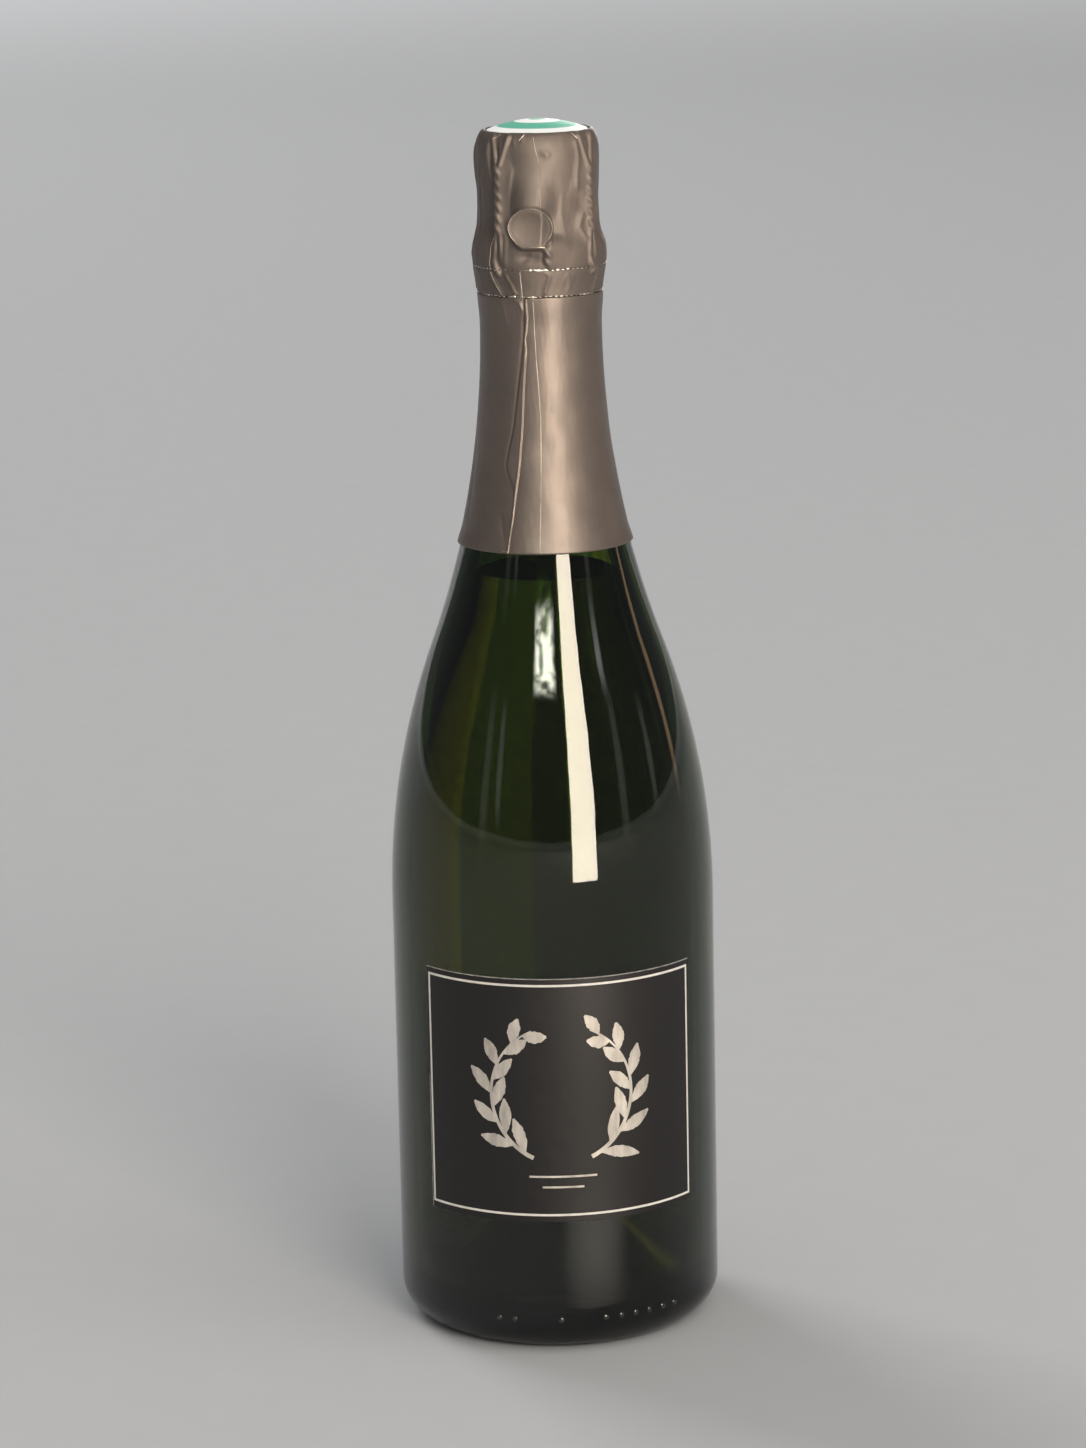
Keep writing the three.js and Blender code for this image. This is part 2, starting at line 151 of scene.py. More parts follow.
def crumple(azimuth, height, seed, count, waves, lean):  # crossing folds, closed round the axis
    draw = np.random.default_rng(seed)
    level = 0.64  # mean of the folds, taken off so that they swell nothing
    total = np.zeros(np.broadcast(azimuth, height).shape)
    for _ in range(count):
        turns = draw.integers(*waves)
        slant = draw.uniform(-lean, lean)
        phase = draw.uniform(0, 2 * math.pi)
        total += level - np.abs(np.sin(0.5 * turns * np.radians(azimuth) + slant * height + phase))
    return total / count


def crumpled(azimuth, height, sets):  # sets of folds: rise, seed, count, waves round, lean
    return sum(rise * crumple(azimuth, height, *folds) for rise, *folds in sets)


def softened(grid, passes):  # rounds off kinks in a wrap that closes on itself across its columns
    for _ in range(passes):
        above, below = np.vstack([grid[:1], grid[:-1]]), np.vstack([grid[1:], grid[-1:]])
        grid = (2 * grid + above + below + np.roll(grid, 1, 1) + np.roll(grid, -1, 1)) / 6
    return grid


# meshes
def meshPiece(name, points, faces, finish):
    mesh = bpy.data.meshes.new(name)
    mesh.from_pydata(np.asarray(points).reshape(-1, 3).tolist(), [], faces)
    mesh.materials.append(finish)
    mesh.shade_smooth()
    piece = bpy.data.objects.new(name, mesh)
    scene.collection.objects.link(piece)
    return piece


def tidyMesh(piece, sharpAngle=None):
    shape = bmesh.new()
    shape.from_mesh(piece.data)
    bmesh.ops.remove_doubles(shape, verts=shape.verts, dist=1e-7)
    bmesh.ops.recalc_face_normals(shape, faces=shape.faces)
    shape.to_mesh(piece.data)
    shape.free()
    if sharpAngle:
        piece.data.set_sharp_from_angle(angle=math.radians(sharpAngle))
    return piece


def gridQuads(rows, columns, closed, first=0, flip=False):
    last = columns if closed else columns - 1
    quads = []
    for row in range(rows - 1):
        for column in range(last):
            beside = (column + 1) % columns
            a, b = first + row * columns + column, first + row * columns + beside
            quads.append((a, a + columns, b + columns, b) if flip else (a, b, b + columns, a + columns))
    return quads


def foilShell(name, outer, thickness, finish):  # closed wrap: outer grid, and the same grid set inwards
    rows, columns = outer.shape[:2]
    alongRow = np.roll(outer, -1, axis=1) - np.roll(outer, 1, axis=1)
    upColumn = np.gradient(outer, axis=0)
    normal = np.cross(alongRow, upColumn)
    normal /= np.linalg.norm(normal, axis=2, keepdims=True)
    inner = outer - normal * thickness * mm
    half, top = rows * columns, (rows - 1) * columns
    faces = gridQuads(rows, columns, True) + gridQuads(rows, columns, True, half, flip=True)
    for column in range(columns):
        beside = (column + 1) % columns
        faces.append((column, half + column, half + beside, beside))
        faces.append((top + beside, half + top + beside, half + top + column, top + column))
    return meshPiece(name, np.concatenate([outer, inner]), faces, finish)


def wrapColumns(frontHalf, frontCount, backCount):  # azimuths, closer together at the front
    front = np.linspace(-frontHalf, frontHalf, frontCount, endpoint=False)
    back = np.linspace(frontHalf, 360 - frontHalf, backCount, endpoint=False)
    return np.concatenate([front, back])[None, :]


# geometry node trees
def addNode(tree, kind, values=None, **settings):
    node = tree.nodes.new(kind)
    for key, value in settings.items():
        setattr(node, key, value)
    for key, value in (values or {}).items():
        if isinstance(value, bpy.types.NodeSocket):
            tree.links.new(value, node.inputs[key])
        else:
            node.inputs[key].default_value = value
    return node


def newTree(name, inputs):
    tree = bpy.data.node_groups.new(name, "GeometryNodeTree")
    tree.interface.new_socket("Geometry", in_out="INPUT", socket_type="NodeSocketGeometry")
    for label, kind in inputs:
        tree.interface.new_socket(label, in_out="INPUT", socket_type="NodeSocket" + kind)
    tree.interface.new_socket("Geometry", in_out="OUTPUT", socket_type="NodeSocketGeometry")
    return tree, tree.nodes.new("NodeGroupInput").outputs


def endTree(tree, shape, finish):
    smooth = addNode(tree, "GeometryNodeSetShadeSmooth", {"Geometry": shape})
    real = addNode(tree, "GeometryNodeRealizeInstances", {"Geometry": smooth.outputs["Geometry"]})
    coat = addNode(tree, "GeometryNodeSetMaterial", {"Geometry": real.outputs["Geometry"], "Material": finish})
    tree.links.new(coat.outputs["Geometry"], tree.nodes.new("NodeGroupOutput").inputs["Geometry"])
    return tree


def mathNode(tree, operation, a, b):
    return addNode(tree, "ShaderNodeMath", {0: a, 1: b}, operation=operation).outputs[0]


def makeRevolveTree():  # a profile in the XZ plane turned about Z
    tree, given = newTree("revolveProfile", [("Columns", "Int"), ("Finish", "Material")])
    profile, columns = given["Geometry"], given["Columns"]
    size = addNode(tree, "GeometryNodeAttributeDomainSize", {"Geometry": profile}, component="MESH")
    rows = size.outputs["Point Count"]
    counts = {"Vertices X": mathNode(tree, "ADD", columns, 1.0), "Vertices Y": rows}
    grid = addNode(tree, "GeometryNodeMeshGrid", counts)
    index = tree.nodes.new("GeometryNodeInputIndex").outputs[0]
    row = mathNode(tree, "MODULO", index, rows)
    column = mathNode(tree, "FLOOR", mathNode(tree, "DIVIDE", index, rows), 0.0)
    place = tree.nodes.new("GeometryNodeInputPosition").outputs[0]
    kind = {"data_type": "FLOAT_VECTOR", "domain": "POINT"}
    sample = addNode(tree, "GeometryNodeSampleIndex", {"Geometry": profile}, **kind)
    tree.links.new(place, sample.inputs["Value"])
    tree.links.new(row, sample.inputs["Index"])
    angle = mathNode(tree, "MULTIPLY", column, mathNode(tree, "DIVIDE", 2 * math.pi, columns))
    turned = addNode(tree, "ShaderNodeVectorRotate", {"Angle": angle}, rotation_type="Z_AXIS")
    tree.links.new(sample.outputs["Value"], turned.inputs["Vector"])
    wrapped = {"Geometry": grid.outputs["Mesh"], "Position": turned.outputs[0]}
    placed = addNode(tree, "GeometryNodeSetPosition", wrapped).outputs["Geometry"]
    merged = addNode(tree, "GeometryNodeMergeByDistance", {"Geometry": placed, "Distance": 1e-6})
    return endTree(tree, merged.outputs["Geometry"], given["Finish"])


def makeWireTree():  # a round wire along a path of points
    tree, given = newTree("drawnWire", [("Radius", "Float"), ("Sides", "Int"), ("Finish", "Material")])
    path = addNode(tree, "GeometryNodeMeshToCurve", {"Mesh": given["Geometry"]})
    size = {"Resolution": given["Sides"], "Radius": given["Radius"]}
    ring = addNode(tree, "GeometryNodeCurvePrimitiveCircle", size)
    curves = {"Curve": path.outputs["Curve"], "Profile Curve": ring.outputs["Curve"], "Fill Caps": True}
    tube = addNode(tree, "GeometryNodeCurveToMesh", curves)
    return endTree(tree, tube.outputs["Mesh"], given["Finish"])


def makeStudTree():  # rounded studs at points round the axis, each facing out from it
    inputs = [(label, "Float") for label in ("Width", "Depth", "Height", "Vary")]
    tree, given = newTree("studsRoundAxis", inputs + [("Seed", "Int"), ("Finish", "Material")])
    place = tree.nodes.new("GeometryNodeInputPosition").outputs[0]
    outward = addNode(tree, "ShaderNodeVectorMath", {0: place, 1: (1, 1, 0)}, operation="MULTIPLY").outputs[0]
    facing = addNode(tree, "FunctionNodeAlignRotationToVector", {"Vector": outward}, axis="Y", pivot_axis="Z")
    sides = {"X": given["Width"], "Y": given["Depth"], "Z": given["Height"]}
    size = addNode(tree, "ShaderNodeCombineXYZ", sides).outputs[0]
    chance = addNode(tree, "FunctionNodeRandomValue", {"Seed": given["Seed"]}, data_type="FLOAT_VECTOR")
    for socket, operation in enumerate(("SUBTRACT", "ADD")):  # least and most width and height
        share = mathNode(tree, operation, 1.0, given["Vary"])
        spread = addNode(tree, "ShaderNodeCombineXYZ", {"X": share, "Y": 1.0, "Z": share})
        tree.links.new(spread.outputs[0], chance.inputs[socket])
    scale = addNode(tree, "ShaderNodeVectorMath", {0: size, 1: chance.outputs[0]}, operation="MULTIPLY")
    stud = addNode(tree, "GeometryNodeMeshUVSphere", {"Segments": 14, "Rings": 8, "Radius": 0.5})
    spots = addNode(tree, "GeometryNodeInstanceOnPoints", {
        "Points": given["Geometry"], "Instance": stud.outputs["Mesh"],
        "Rotation": facing.outputs[0], "Scale": scale.outputs[0],
    })
    return endTree(tree, spots.outputs["Instances"], given["Finish"])


def growPiece(name, tree, points, edges, values):  # runs a tree on points and keeps the plain mesh
    seed = bpy.data.meshes.new(name + "Points")
    seed.from_pydata(np.asarray(points).reshape(-1, 3).tolist(), edges, [])
    holder = bpy.data.objects.new(name + "Points", seed)
    scene.collection.objects.link(holder)
    step = holder.modifiers.new(tree.name, "NODES")
    step.node_group = tree
    for socket in tree.interface.items_tree:
        if socket.in_out == "INPUT" and socket.name in values:
            step[socket.identifier] = values[socket.name]
    graph = bpy.context.evaluated_depsgraph_get()
    mesh = bpy.data.meshes.new_from_object(holder.evaluated_get(graph), depsgraph=graph)
    mesh.name = name
    piece = bpy.data.objects.new(name, mesh)
    scene.collection.objects.link(piece)
    holder.modifiers.remove(step)
    bpy.data.objects.remove(holder)
    return piece


revolveTree = makeRevolveTree()
wireTree = makeWireTree()
studTree = makeStudTree()


def revolve(name, profile, columns, finish, sharpAngle):
    points = [(r * mm, 0, z * mm) for r, z in profile]
    piece = growPiece(name, revolveTree, points, [], {"Columns": columns, "Finish": finish})
    return tidyMesh(piece, sharpAngle)


def smoothLoop(points, steps=6):  # closed path through points, eased between them
    count, fine = len(points), []
    for i in range(count):
        a, b, c, d = (points[(i + k) % count] for k in (-1, 0, 1, 2))
        square, cube = 2 * a - 5 * b + 4 * c - d, 3 * b - a - 3 * c + d
        for t in np.arange(steps) / steps:
            fine.append(0.5 * (2 * b + (c - a) * t + square * t * t + cube * t ** 3))
    return np.array(fine)


def bendWire(name, path, radius, sides, finish):  # closed wire along a path
    loop = [(i, (i + 1) % len(path)) for i in range(len(path))]
    values = {"Radius": radius * mm, "Sides": sides, "Finish": finish}
    return tidyMesh(growPiece(name, wireTree, path, loop, values))


def growStuds(name, spots, sizes, vary, seed, finish):  # sizes: across, outwards and up
    values = {label: size * mm for label, size in zip(("Width", "Depth", "Height"), sizes)}
    return growPiece(name, studTree, spots, [], {**values, "Vary": vary, "Seed": seed, "Finish": finish})


# finishes
def newFinish(name, sockets):
    finish = bpy.data.materials.new(name)
    finish.use_nodes = True
    shader = finish.node_tree.nodes["Principled BSDF"]
    for key, value in sockets.items():
        shader.inputs[key].default_value = value
    return finish, finish.node_tree, shader


def surfacePlace(tree, stretch=(1, 1, 1)):
    coords = tree.nodes.new("ShaderNodeTexCoord").outputs["Object"]
    return addNode(tree, "ShaderNodeMapping", {"Vector": coords, "Scale": stretch}).outputs[0]


def noiseOn(tree, scale, detail=4.0, stretch=(1, 1, 1)):
    values = {"Vector": surfacePlace(tree, stretch), "Scale": scale, "Detail": detail, "Roughness": 0.55}
    return addNode(tree, "ShaderNodeTexNoise", values).outputs["Fac"]


def rampOf(tree, value, stops):
    node = tree.nodes.new("ShaderNodeValToRGB")
    tree.links.new(value, node.inputs["Fac"])
    ramp = node.color_ramp
    while len(ramp.elements) < len(stops):
        ramp.elements.new(0.5)
    for element, (place, colour) in zip(ramp.elements, stops):
        element.position = place
        element.color = (*colour, 1)
    return node.outputs["Color"]


def rangeOf(tree, value, low, high, ends=(0, 1)):
    values = {"Value": value, "From Min": ends[0], "From Max": ends[1], "To Min": low, "To Max": high}
    return addNode(tree, "ShaderNodeMapRange", values, interpolation_type="SMOOTHSTEP").outputs["Result"]


def colourBy(tree, shader, value, stops):
    tree.links.new(rampOf(tree, value, stops), shader.inputs["Base Color"])


def roughBy(tree, shader, scale, detail, low, high):
    tree.links.new(rangeOf(tree, noiseOn(tree, scale, detail), low, high), shader.inputs["Roughness"])


def bumpFrom(tree, shader, height, strength, distance):
    node = addNode(tree, "ShaderNodeBump", {"Height": height, "Strength": strength, "Distance": distance})
    tree.links.new(node.outputs["Normal"], shader.inputs["Normal"])


def absorb(tree, colour, density):  # tints light on its way through
    tint = addNode(tree, "ShaderNodeVolumeAbsorption", {"Color": (*colour, 1), "Density": density})
    tree.links.new(tint.outputs["Volume"], tree.nodes["Material Output"].inputs["Volume"])


def mottled(name, sockets, grain, stops, rough=None):  # colour from a noise, roughness from a second one
    finish, tree, shader = newFinish(name, sockets)
    colourBy(tree, shader, noiseOn(tree, *grain), stops)
    if rough:
        roughBy(tree, shader, *rough)
    return finish, tree, shader


def glassFinish():
    sockets = {"Base Color": (0.86, 0.93, 0.78, 1), "IOR": 1.52, "Transmission Weight": 1.0}
    finish, tree, shader = newFinish("bottleGlass", sockets)
    roughBy(tree, shader, 60, 5, 0.0, 0.05)
    bumpFrom(tree, shader, noiseOn(tree, 45, 3.4, (1, 1, 0.35)), 0.06, 0.002)
    absorb(tree, (0.34, 0.45, 0.04), 520.0)
    return finish


def wineFinish():
    sockets = {"IOR": 1.34, "Transmission Weight": 1.0, "Roughness": 0.0}
    finish, tree, _ = mottled("paleWine", sockets, (20,), [(0, (0.93, 0.85, 0.6)), (1, (0.97, 0.9, 0.66))])
    absorb(tree, (0.66, 0.52, 0.1), 30.0)
    return finish


def foilFinish(name, sleek, rough, tone):
    sockets = {"Metallic": 0.45, "Coat Weight": 0.06, "Coat Roughness": 0.26}
    dark, light = (0.12 * tone, 0.094 * tone, 0.08 * tone), (0.146 * tone, 0.115 * tone, 0.098 * tone)
    finish, tree, shader = mottled(name, sockets, (140, 5), [(0.3, dark), (0.7, light)], (420, 6, sleek, rough))
    bumpFrom(tree, shader, noiseOn(tree, 1900, 3), 0.1, 0.0001)
    return finish


def paperFinish():
    finish, tree, shader = newFinish("charcoalPaper", {"Specular IOR Level": 0.42})
    grain = noiseOn(tree, 2600, 6)
    colourBy(tree, shader, grain, [(0.3, (0.005, 0.0039, 0.0038)), (0.72, (0.01, 0.0078, 0.0075))])
    roughBy(tree, shader, 500, 4, 0.37, 0.5)
    bumpFrom(tree, shader, grain, 0.2, 0.00008)
    return finish


def inkFinish(name, dark, light, stretch, metallic):
    stops = [(0.3, dark), (0.68, light)]
    return mottled(name, {"Metallic": metallic}, (420, 7, stretch), stops, (1500, 4, 0.42, 0.6))[0]


def corkFinish():
    finish, tree, shader = newFinish("granulatedCork", {"Roughness": 0.85})
    grains = addNode(tree, "ShaderNodeTexVoronoi", {"Vector": surfacePlace(tree), "Scale": 420.0}, feature="F1")
    hue = addNode(tree, "ShaderNodeSeparateColor", {"Color": grains.outputs["Color"]}).outputs[0]
    colourBy(tree, shader, hue, [
        (0, (0.3, 0.17, 0.08)), (0.35, (0.52, 0.34, 0.19)), (0.75, (0.62, 0.43, 0.25)), (1, (0.7, 0.52, 0.33)),
    ])
    bumpFrom(tree, shader, grains.outputs["Distance"], 0.35, 0.0004)
    return finish


def naturalCorkFinish():
    finish, tree, shader = newFinish("naturalCork", {"Roughness": 0.8})
    pores = noiseOn(tree, 260, 5, (1, 1, 3.5))
    stops = [(0.3, (0.14, 0.07, 0.03)), (0.42, (0.46, 0.29, 0.16)), (0.7, (0.6, 0.41, 0.24))]
    colourBy(tree, shader, pores, stops)
    bumpFrom(tree, shader, pores, 0.3, 0.0003)
    return finish


bottleGlass, paleWine = glassFinish(), wineFinish()
heelGlass = mottled(
    "heelGlass", {"IOR": 1.52, "Coat Weight": 1.0, "Coat Roughness": 0.22}, (900,),
    [(0.3, (0.004, 0.007, 0.003)), (0.7, (0.008, 0.013, 0.005))], (600, 4, 0.2, 0.34))[0]
taupeFoil = foilFinish("taupeFoil", 0.41, 0.5, 0.93)
# hood and strip: the skirt's foil made rougher, with its colour darkened (tone 0.85 against 0.93) as painted shade
creasedShadedFoil = foilFinish("creasedShadedTaupeFoil", 0.53, 0.66, 0.85)
tornFoil = mottled(
    "tornFoilEdge", {"Metallic": 1.0}, (700,),
    [(0.35, (0.3, 0.26, 0.22)), (0.65, (0.85, 0.8, 0.73))], (900, 4, 0.25, 0.45))[0]
# pale lines for the foil: bare metal where they lie on cut edges, painted highlight where they lie on crests, rims and
# small pleats
foilLineHighlight = mottled(
    "highlightAndCutFoil", {"Metallic": 0.7}, (130, 5),
    [(0.36, (0.12, 0.096, 0.082)), (0.6, (0.56, 0.48, 0.41))], (900, 4, 0.35, 0.5))[0]
charcoalPaper = paperFinish()
paperEdge = mottled(
    "paperCutEdge", {"Roughness": 0.85}, (3000,), [(0.3, (0.3, 0.28, 0.25)), (0.7, (0.46, 0.43, 0.39))])[0]
frameInk = inkFinish("creamFrameInk", (0.68, 0.62, 0.54), (0.82, 0.77, 0.69), (1, 1, 1), 0.0)
leafInk = inkFinish("silverLeafInk", (0.36, 0.32, 0.28), (0.66, 0.6, 0.52), (1, 1, 0.3), 0.25)
corkGrains, corkNatural = corkFinish(), naturalCorkFinish()
galvanised = mottled(
    "galvanisedWire", {"Metallic": 1.0}, (350, 5),
    [(0.3, (0.3, 0.295, 0.285)), (0.7, (0.5, 0.495, 0.48))], (800, 4, 0.28, 0.46))[0]
print("finishes made")

# glass bottle and wine
glass = {
    "bodyRadius": 43.25, "wall": 5, "heel": 9, "ring": 2.75, "innerHeel": 7, "floor": 9, "punt": 28,
    "shoulderArc": 197.5, "neckArc": 244.5, "neckRadius": 15.5, "neckLength": 28.85, "boreRadius": 9,
    "mouth": 299, "lipRadius": 14, "lipHeight": 6.4, "lipRounding": 0.9, "beadRadius": 16.5, "beadSlope": 1.8,
    "beadBand": 2.2, "undercut": 3, "grooveRadius": 14.6, "grooveHeight": 2.6, "grooveRamp": 1,
    "cornerRounding": 0.8, "columns": 192, "fill": 205, "wineGap": 0.05, "meniscus": 0.9, "wineColumns": 128,
}
sweepArcs = glass["shoulderArc"] + glass["neckArc"]
lipBottom = glass["mouth"] - glass["lipHeight"]
beadTop = lipBottom - glass["beadSlope"]
beadLow = beadTop - glass["beadBand"]


def sweepSine(step, arcs):
    return math.sqrt(1 - (1 - step / arcs) ** 2)


sweepHeight = sweepArcs * sweepSine(glass["bodyRadius"] - glass["neckRadius"], sweepArcs)
shoulderStart = glass["mouth"] - glass["neckLength"] - sweepHeight


def sweepOutline(wide, narrow, convex, concave):  # straight side, convex shoulder, concave neck
    sine = sweepSine(wide - narrow, convex + concave)
    join, top = shoulderStart + convex * sine, shoulderStart + (convex + concave) * sine

    def radiusAt(z):
        z = np.asarray(z, float)
        over = np.clip(z - shoulderStart, 0, convex)
        under = np.clip(top - z, 0, concave)
        rounded = wide - convex + np.sqrt(convex ** 2 - over ** 2)
        hollow = narrow + concave - np.sqrt(concave ** 2 - under ** 2)
        return np.where(z <= join, rounded, hollow)

    return radiusAt, top


outside, outsideTop = sweepOutline(
    glass["bodyRadius"], glass["neckRadius"], glass["shoulderArc"], glass["neckArc"])
inside, insideTop = sweepOutline(
    glass["bodyRadius"] - glass["wall"], glass["boreRadius"], glass["shoulderArc"] - glass["wall"],
    glass["neckArc"] + glass["neckRadius"] - glass["boreRadius"])


def puntCurve(radius, lift, steps=22):
    r = np.linspace(0, radius, steps + 1)
    return list(zip(r, lift + glass["punt"] * (0.5 + 0.5 * np.cos(np.pi * r / radius))))


def innerWall(top, gap):
    wall, low = glass["bodyRadius"] - glass["wall"] - gap, glass["floor"] + gap
    rounding = glass["innerHeel"] - gap
    straight = np.linspace(low + rounding, shoulderStart, 14)[1:-1]
    rows = np.concatenate([straight, np.linspace(shoulderStart, top, 46)])
    curve = puntCurve(wall - rounding, low)
    curve += arcPoints(wall - rounding, low + rounding, rounding, -90, 0, 10)[1:]
    return curve + [(float(inside(z)) - gap, z) for z in rows]


def makeGlass():
    ringOuter = glass["bodyRadius"] - glass["heel"]
    grooveTop = beadLow - glass["undercut"]
    grooveBottom = grooveTop - glass["grooveHeight"]
    rounding = glass["lipRounding"]
    rimTop = glass["mouth"] - rounding
    groove, bead, lip = glass["grooveRadius"], glass["beadRadius"], glass["lipRadius"]
    outer = puntCurve(ringOuter - glass["ring"], 0)
    outer += arcPoints(ringOuter, glass["heel"], glass["heel"], -90, 0, 16)
    outer += [(float(outside(z)), z) for z in np.linspace(glass["heel"], shoulderStart, 26)[1:-1]]
    outer += [(float(outside(z)), z) for z in np.linspace(shoulderStart, outsideTop, 60)]
    neckFinish = roundCorners([
        outer[-1], (glass["neckRadius"], grooveBottom - glass["grooveRamp"]), (groove, grooveBottom),
        (groove, grooveTop), (bead, beadLow), (bead, beadTop), (lip, lipBottom), (lip, rimTop),
    ], glass["cornerRounding"])[1:-1]
    rim = arcPoints(lip - rounding, rimTop, rounding, 0, 90, 6)
    rim += arcPoints(glass["boreRadius"] + rounding, rimTop, rounding, 90, 180, 6)
    inner = innerWall(insideTop, 0)[::-1]
    bottle = revolve("bottle", outer + neckFinish + rim + inner, glass["columns"], bottleGlass, 50)
    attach(bottle, "bottle")
    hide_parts("bottle_glass")


def makeWine():
    level, gap, dip = glass["fill"], glass["wineGap"], glass["meniscus"]
    edge = float(inside(level)) - gap
    surface = [(edge - k, level - dip * (1 - math.exp(-k))) for k in np.linspace(0, 5, 16)[1:]]
    profile = innerWall(level, gap) + surface + [(0, level - dip)]
    filling = revolve("wineFill", profile, glass["wineColumns"], paleWine, 60)
    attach(filling, "bottle")
    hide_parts("wine")


makeGlass()
makeWine()

heelDots = {
    "azimuths": (-22.5, -16.5, 0, 16, 21.8, 27.5, 33, 39, 44.5), "height": 9.6, "width": 1.5, "rise": 0.28,
    "vary": 0.08, "seed": 4,
}


def makeHeelDots():
    spots = polar(np.array(heelDots["azimuths"]), glass["bodyRadius"], heelDots["height"])
    sizes = (heelDots["width"], 2 * heelDots["rise"], heelDots["width"])
    dots = growStuds("heelDots", spots, sizes, heelDots["vary"], heelDots["seed"], heelGlass)
    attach(dots, "bottle")


makeHeelDots()
print("glass and wine made")

# cork: granulated body with two discs of natural cork
cork = {
    "plugLength": 24, "disc": 5.5, "glue": 0.15, "gap": 0.3, "chamfer": 0.6, "edge": 0.15, "rounding": 0.3,
    "headRadius": 15.3, "headHeight": 19.6, "underRounding": 4.5, "topRounding": 5, "crown": 1.4, "columns": 96,
}
corkShoulder = glass["mouth"] + cork["headHeight"]


def makeCork():
    plugRadius = glass["boreRadius"] - cork["gap"]
    plugBottom = glass["mouth"] - cork["plugLength"]
    low = plugBottom + 2 * (cork["disc"] + cork["glue"])
    under = glass["mouth"] + cork["gap"]
    underReach, topReach = cork["underRounding"], cork["topRounding"]
    topRadius = cork["headRadius"] - topReach
    head = arcPoints(cork["headRadius"] - underReach, under + underReach, underReach, -90, 0, 10)
    head += arcPoints(topRadius, corkShoulder - topReach, topReach, 0, 90, 10)[:-1]
    crown = [
        (r, corkShoulder + cork["crown"] * (1 - (r / topRadius) ** 2)) for r in np.linspace(topRadius, 0, 10)]
    side = [(plugRadius, z) for z in np.linspace(low, under, 18)]
    body = revolve("corkBody", [(0, low)] + side + head + crown, cork["columns"], corkGrains, 50)
    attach(body, "cork")
    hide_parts("cork_body")
    for name, node, index in (("corkDiscLower", "cork_disc_lower", 0), ("corkDiscUpper", "cork_disc_upper", 1)):
        base = plugBottom + index * (cork["disc"] + cork["glue"])
        top = base + cork["disc"]
        cut = cork["chamfer"] * (1 - index) + cork["edge"]
        profile = [(0, base), (plugRadius - cut, base), (plugRadius, base + cut), (plugRadius, top), (0, top)]
        disc = revolve(name, roundCorners(profile, cork["rounding"]), cork["columns"], corkNatural, 40)
        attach(disc, "cork")
        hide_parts(node)


makeCork()

# cap plate: domed, with a pressed step, a flange and a lip turned down
plate = {
    "radius": 14.6, "thickness": 0.3, "domeRadius": 13.1, "domeRise": 2.6, "step": 1.3, "lip": 0.9,
    "rounding": 0.25, "columns": 128, "teal": (0.1, 0.4, 0.29), "white": (0.8, 0.8, 0.77),
}
flangeTop = corkShoulder + cork["gap"] + plate["thickness"]


def plateFinish():  # rings by share of the radius
    finish, tree, shader = newFinish("plateLacquer", {"Specular IOR Level": 0.2})
    flat = surfacePlace(tree, (1, 1, 0))
    reach = addNode(tree, "ShaderNodeVectorMath", {0: flat}, operation="LENGTH").outputs["Value"]
    share = mathNode(tree, "DIVIDE", reach, plate["radius"] * mm)
    teal, white = plate["teal"], plate["white"]
    colourBy(tree, shader, share, [
        (0, teal), (0.15, teal), (0.165, white), (0.4, white),
        (0.415, teal), (0.71, teal), (0.725, white), (1, white),
    ])
    roughBy(tree, shader, 500, 4, 0.46, 0.6)
    return finish


def makePlate():
    radius, thick, lip = plate["radius"], plate["thickness"], flangeTop - plate["lip"]
    wide, edge = plate["domeRadius"], flangeTop + plate["step"]
    dome = [(r, edge + plate["domeRise"] * (1 - (r / wide) ** 2)) for r in np.linspace(0, wide, 18)]
    top = dome + [
        (wide + thick, flangeTop), (radius - thick, flangeTop), (radius, flangeTop - thick), (radius, lip)]
    under = [(radius - thick, lip), (radius - thick, flangeTop - thick), (wide, flangeTop - thick)]
    under += [(r * (1 - thick / wide), z - thick) for r, z in reversed(dome)]
    profile = roundCorners(top, plate["rounding"], 3) + under
    piece = revolve("capPlate", profile, plate["columns"], plateFinish(), 40)
    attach(piece, "cage")
    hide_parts("cap_plate")


makePlate()
print("cork and plate made")

# wires: cage of four twisted legs, belt with a twisted shank and an eye
wires = {
    "radius": 0.475, "strandGap": 0.2, "legAzimuth": 52, "legs": 4, "turns": 3, "twistBottom": 4.1,
    "twistLength": 17.6, "footTurn": -0.25, "ringRadius": 14.05, "ringSpread": 2.5, "beltDrop": 13.7,
    "beltPull": 3, "shankTurns": 1, "shankLength": 5, "eyeRadius": 4.2, "eyeRise": 11, "gap": 0.3, "sides": 12,
}
strandOffset = wires["radius"] + wires["strandGap"] / 2
ropeHalf = strandOffset + wires["radius"]
beltHeight = glass["mouth"] - wires["beltDrop"]
ringHeight = flangeTop + wires["gap"] + wires["radius"]
footInner = glass["grooveRadius"] + wires["gap"] + wires["radius"]
footHalf = 2 * wires["radius"] + wires["strandGap"]
footRadius = footInner + footHalf
twistLow = beadTop + wires["twistBottom"]
twistHigh = twistLow + wires["twistLength"]


def strand(azimuth, side, heights, axisRows, spreadRows, turnRows):
    axis, spread, turn = (rowsAt(rows, heights) for rows in (axisRows, spreadRows, turnRows))
    angle = 2 * np.pi * turn
    across = side * spread * np.cos(angle)
    return polar(azimuth + np.degrees(across / axis), axis + side * spread * np.sin(angle), heights)


